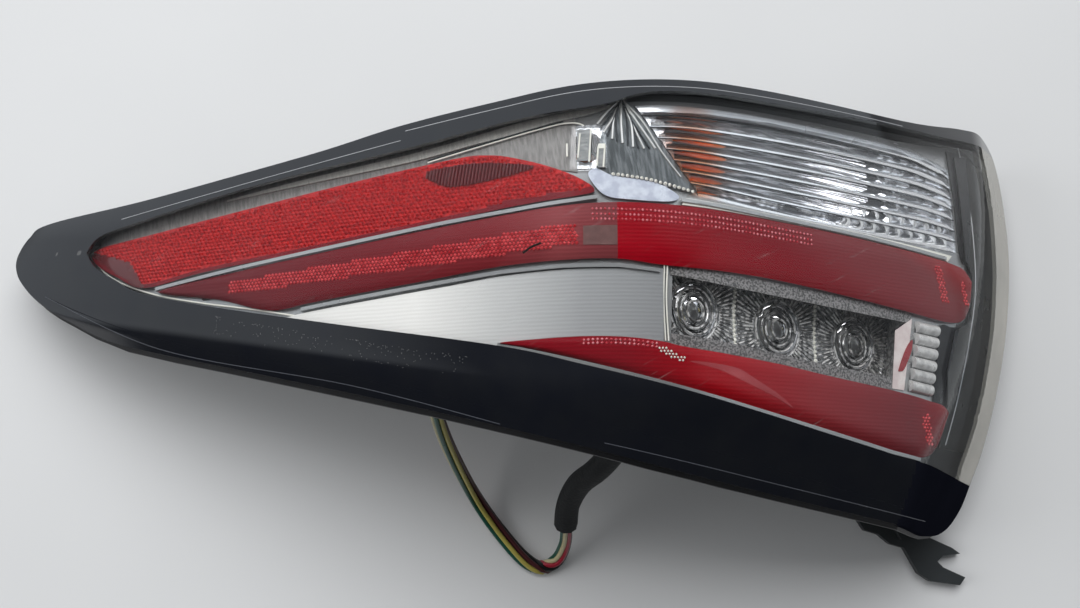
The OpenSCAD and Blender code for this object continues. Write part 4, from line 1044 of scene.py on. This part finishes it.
# Wires and sleeve
WIRES = [("brown", (0.06, 0.012, 0.014)), ("black", (0.006, 0.006, 0.006)), ("red", (0.32, 0.012, 0.03)),
    ("cream", (0.5, 0.45, 0.26)), ("green", (0.008, 0.075, 0.05)), ("yellow", (0.42, 0.36, 0.08)),
    ("violet", (0.03, 0.025, 0.09))]
BUNDLE_R = 2.55
LOWEST_WIRE = 1.4


def tube(name, points, diameter, finish):
    """A round cord as one open curve."""
    curve = bpy.data.curves.new(name, "CURVE")
    curve.dimensions = "3D"
    curve.bevel_depth = diameter / 2
    curve.bevel_resolution = 3
    curve.use_fill_caps = True
    line = curve.splines.new("POLY")
    line.points.add(len(points) - 1)
    for point, place in zip(line.points, points):
        point.co = (*place, 1)
    curve.materials.append(finish)
    return added(name, curve)


def strand(route, turn, radius, twist):
    """One wire of the bundle: it winds slowly round the bundle's own line."""
    along = np.gradient(route, axis=0)
    along /= np.linalg.norm(along, axis=1)[:, None]
    side = np.cross(np.array([0.94, 0.1, 0.32]), along)
    side /= np.linalg.norm(side, axis=1)[:, None]
    up = np.cross(along, side)
    share = np.linspace(0, 1, len(route))
    angle = turn + twist * share
    spread = radius * (0.72 + 0.5 * np.sin(math.pi * share) * math.sin(turn * 3 + 1) ** 2)
    offset = side * np.cos(angle)[:, None] + up * np.sin(angle)[:, None]
    line = route + offset * spread[:, None]
    line[:, 2] = np.maximum(line[:, 2], LOWEST_WIRE)
    return line


sleeve_line = metres(through(SLEEVE_PATH, 4))
sleeve = tube("harness_sleeve", sleeve_line, SLEEVE_D, FINISH["sleeve"])
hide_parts("wire_sleeve")

bundle_route = through(BUNDLE_PATH, 4)
for index, (colour_name, colour) in enumerate(WIRES):
    inner = 0.0 if index == 6 else BUNDLE_R
    wire_line = metres(strand(bundle_route, index * math.pi / 3, inner, 2.4))
    wire_line = wire_line[::-1]
    insulation = moulded(colour, 0.3, coat=0.3, scale=200)
    insulation.name = "wire " + colour_name
    wire = tube("wire_" + colour_name, wire_line, WIRE_D, insulation)
    if index == 0:
        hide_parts("wire_bundle")

# Floor, light and surroundings
FLOOR_HALF, FLOOR_Z = 3.0, -0.0005
floor_mesh = bpy.data.meshes.new("floor")
floor_mesh.from_pydata([(x * FLOOR_HALF, y * FLOOR_HALF, FLOOR_Z)
    for x, y in ((-1, -1), (1, -1), (1, 1), (-1, 1))], [], [(0, 1, 2, 3)])
floor_mesh.materials.append(moulded((0.7, 0.71, 0.72), 0.6, (0.68, 0.69, 0.7), scale=6, bump=0))
floor_mesh.materials[0].name = "pale floor"
floor = bpy.data.objects.new("floor", floor_mesh)
scene.collection.objects.link(floor)


def softbox(name, place, target, size, watts):
    lamp = bpy.data.lights.new(name, "AREA")
    lamp.shape = "RECTANGLE"
    lamp.size, lamp.size_y = size
    lamp.energy = watts
    obj = bpy.data.objects.new(name, lamp)
    scene.collection.objects.link(obj)
    aim = np.array(target) - np.array(place)
    obj.location = place
    pitch = math.acos(-aim[2] / np.linalg.norm(aim))
    obj.rotation_euler = (pitch, 0, math.atan2(aim[1], aim[0]) - math.pi / 2)
    obj.visible_glossy = False


LAMP_CENTRE = (-0.2, 0.0, 0.1)
softbox("key", (-0.2, 0.75, 1.5), LAMP_CENTRE, (1.6, 1.1), 25)
softbox("left", (-1.6, 0.1, 1.0), LAMP_CENTRE, (1.2, 1.2), 9)

# The room: even and dim for soft light, with bright walls and a dark front in reflections
world = bpy.data.worlds.new("room")
scene.world = world
world.use_nodes = True
sky = world.node_tree
sky.nodes.clear()
axes = node(sky, "SeparateXYZ", links={"Vector": node(sky, "TexCoord").outputs["Generated"]})


def slope(axis, low, high, bottom=0.0, top=1.0):
    return node(sky, "MapRange", {"From Min": low, "From Max": high, "To Min": bottom,
        "To Max": top}, {"Value": axes.outputs[axis]}, interpolation_type="SMOOTHSTEP")


def combined(operation, a, b):
    return node(sky, "Math", links={0: a, 1: b}, operation=operation)


below_top = slope("Z", 0.8, 0.93, 1.0, 0.0)
back_wall = combined("MULTIPLY", slope("Y", 0.2, 0.45), below_top)
left_wall = combined("MULTIPLY", slope("X", -0.88, -0.66, 0.7, 0.0),
    combined("MULTIPLY", slope("Y", -0.36, -0.2), below_top))
right_wall = combined("MULTIPLY", slope("X", 0.5, 0.8, 0.0, 0.6),
    combined("MULTIPLY", slope("Y", -0.4, -0.1), below_top))
walls = combined("MAXIMUM", back_wall, combined("MAXIMUM", left_wall, right_wall))
front = slope("Y", -0.55, 0.1, 0.04, 0.1)
mirrored = combined("MAXIMUM", walls, front)
plain = slope("Y", -0.75, 0.5, 0.1, 0.28)
path = node(sky, "LightPath")
sharp = combined("MAXIMUM", path.outputs["Is Glossy Ray"], path.outputs["Is Transmission Ray"])
strength = node(sky, "Mix", links={0: sharp, 2: plain, 3: mirrored})
cast = node(sky, "Mix", {6: (0.96, 0.98, 1.0, 1), 7: (0.88, 0.94, 1.0, 1)}, {0: sharp},
    data_type="RGBA")
room = node(sky, "Background", links={"Color": cast.outputs[2], "Strength": strength})
node(sky, "OutputWorld", links={"Surface": room})

scene.view_settings.view_transform = "Standard"
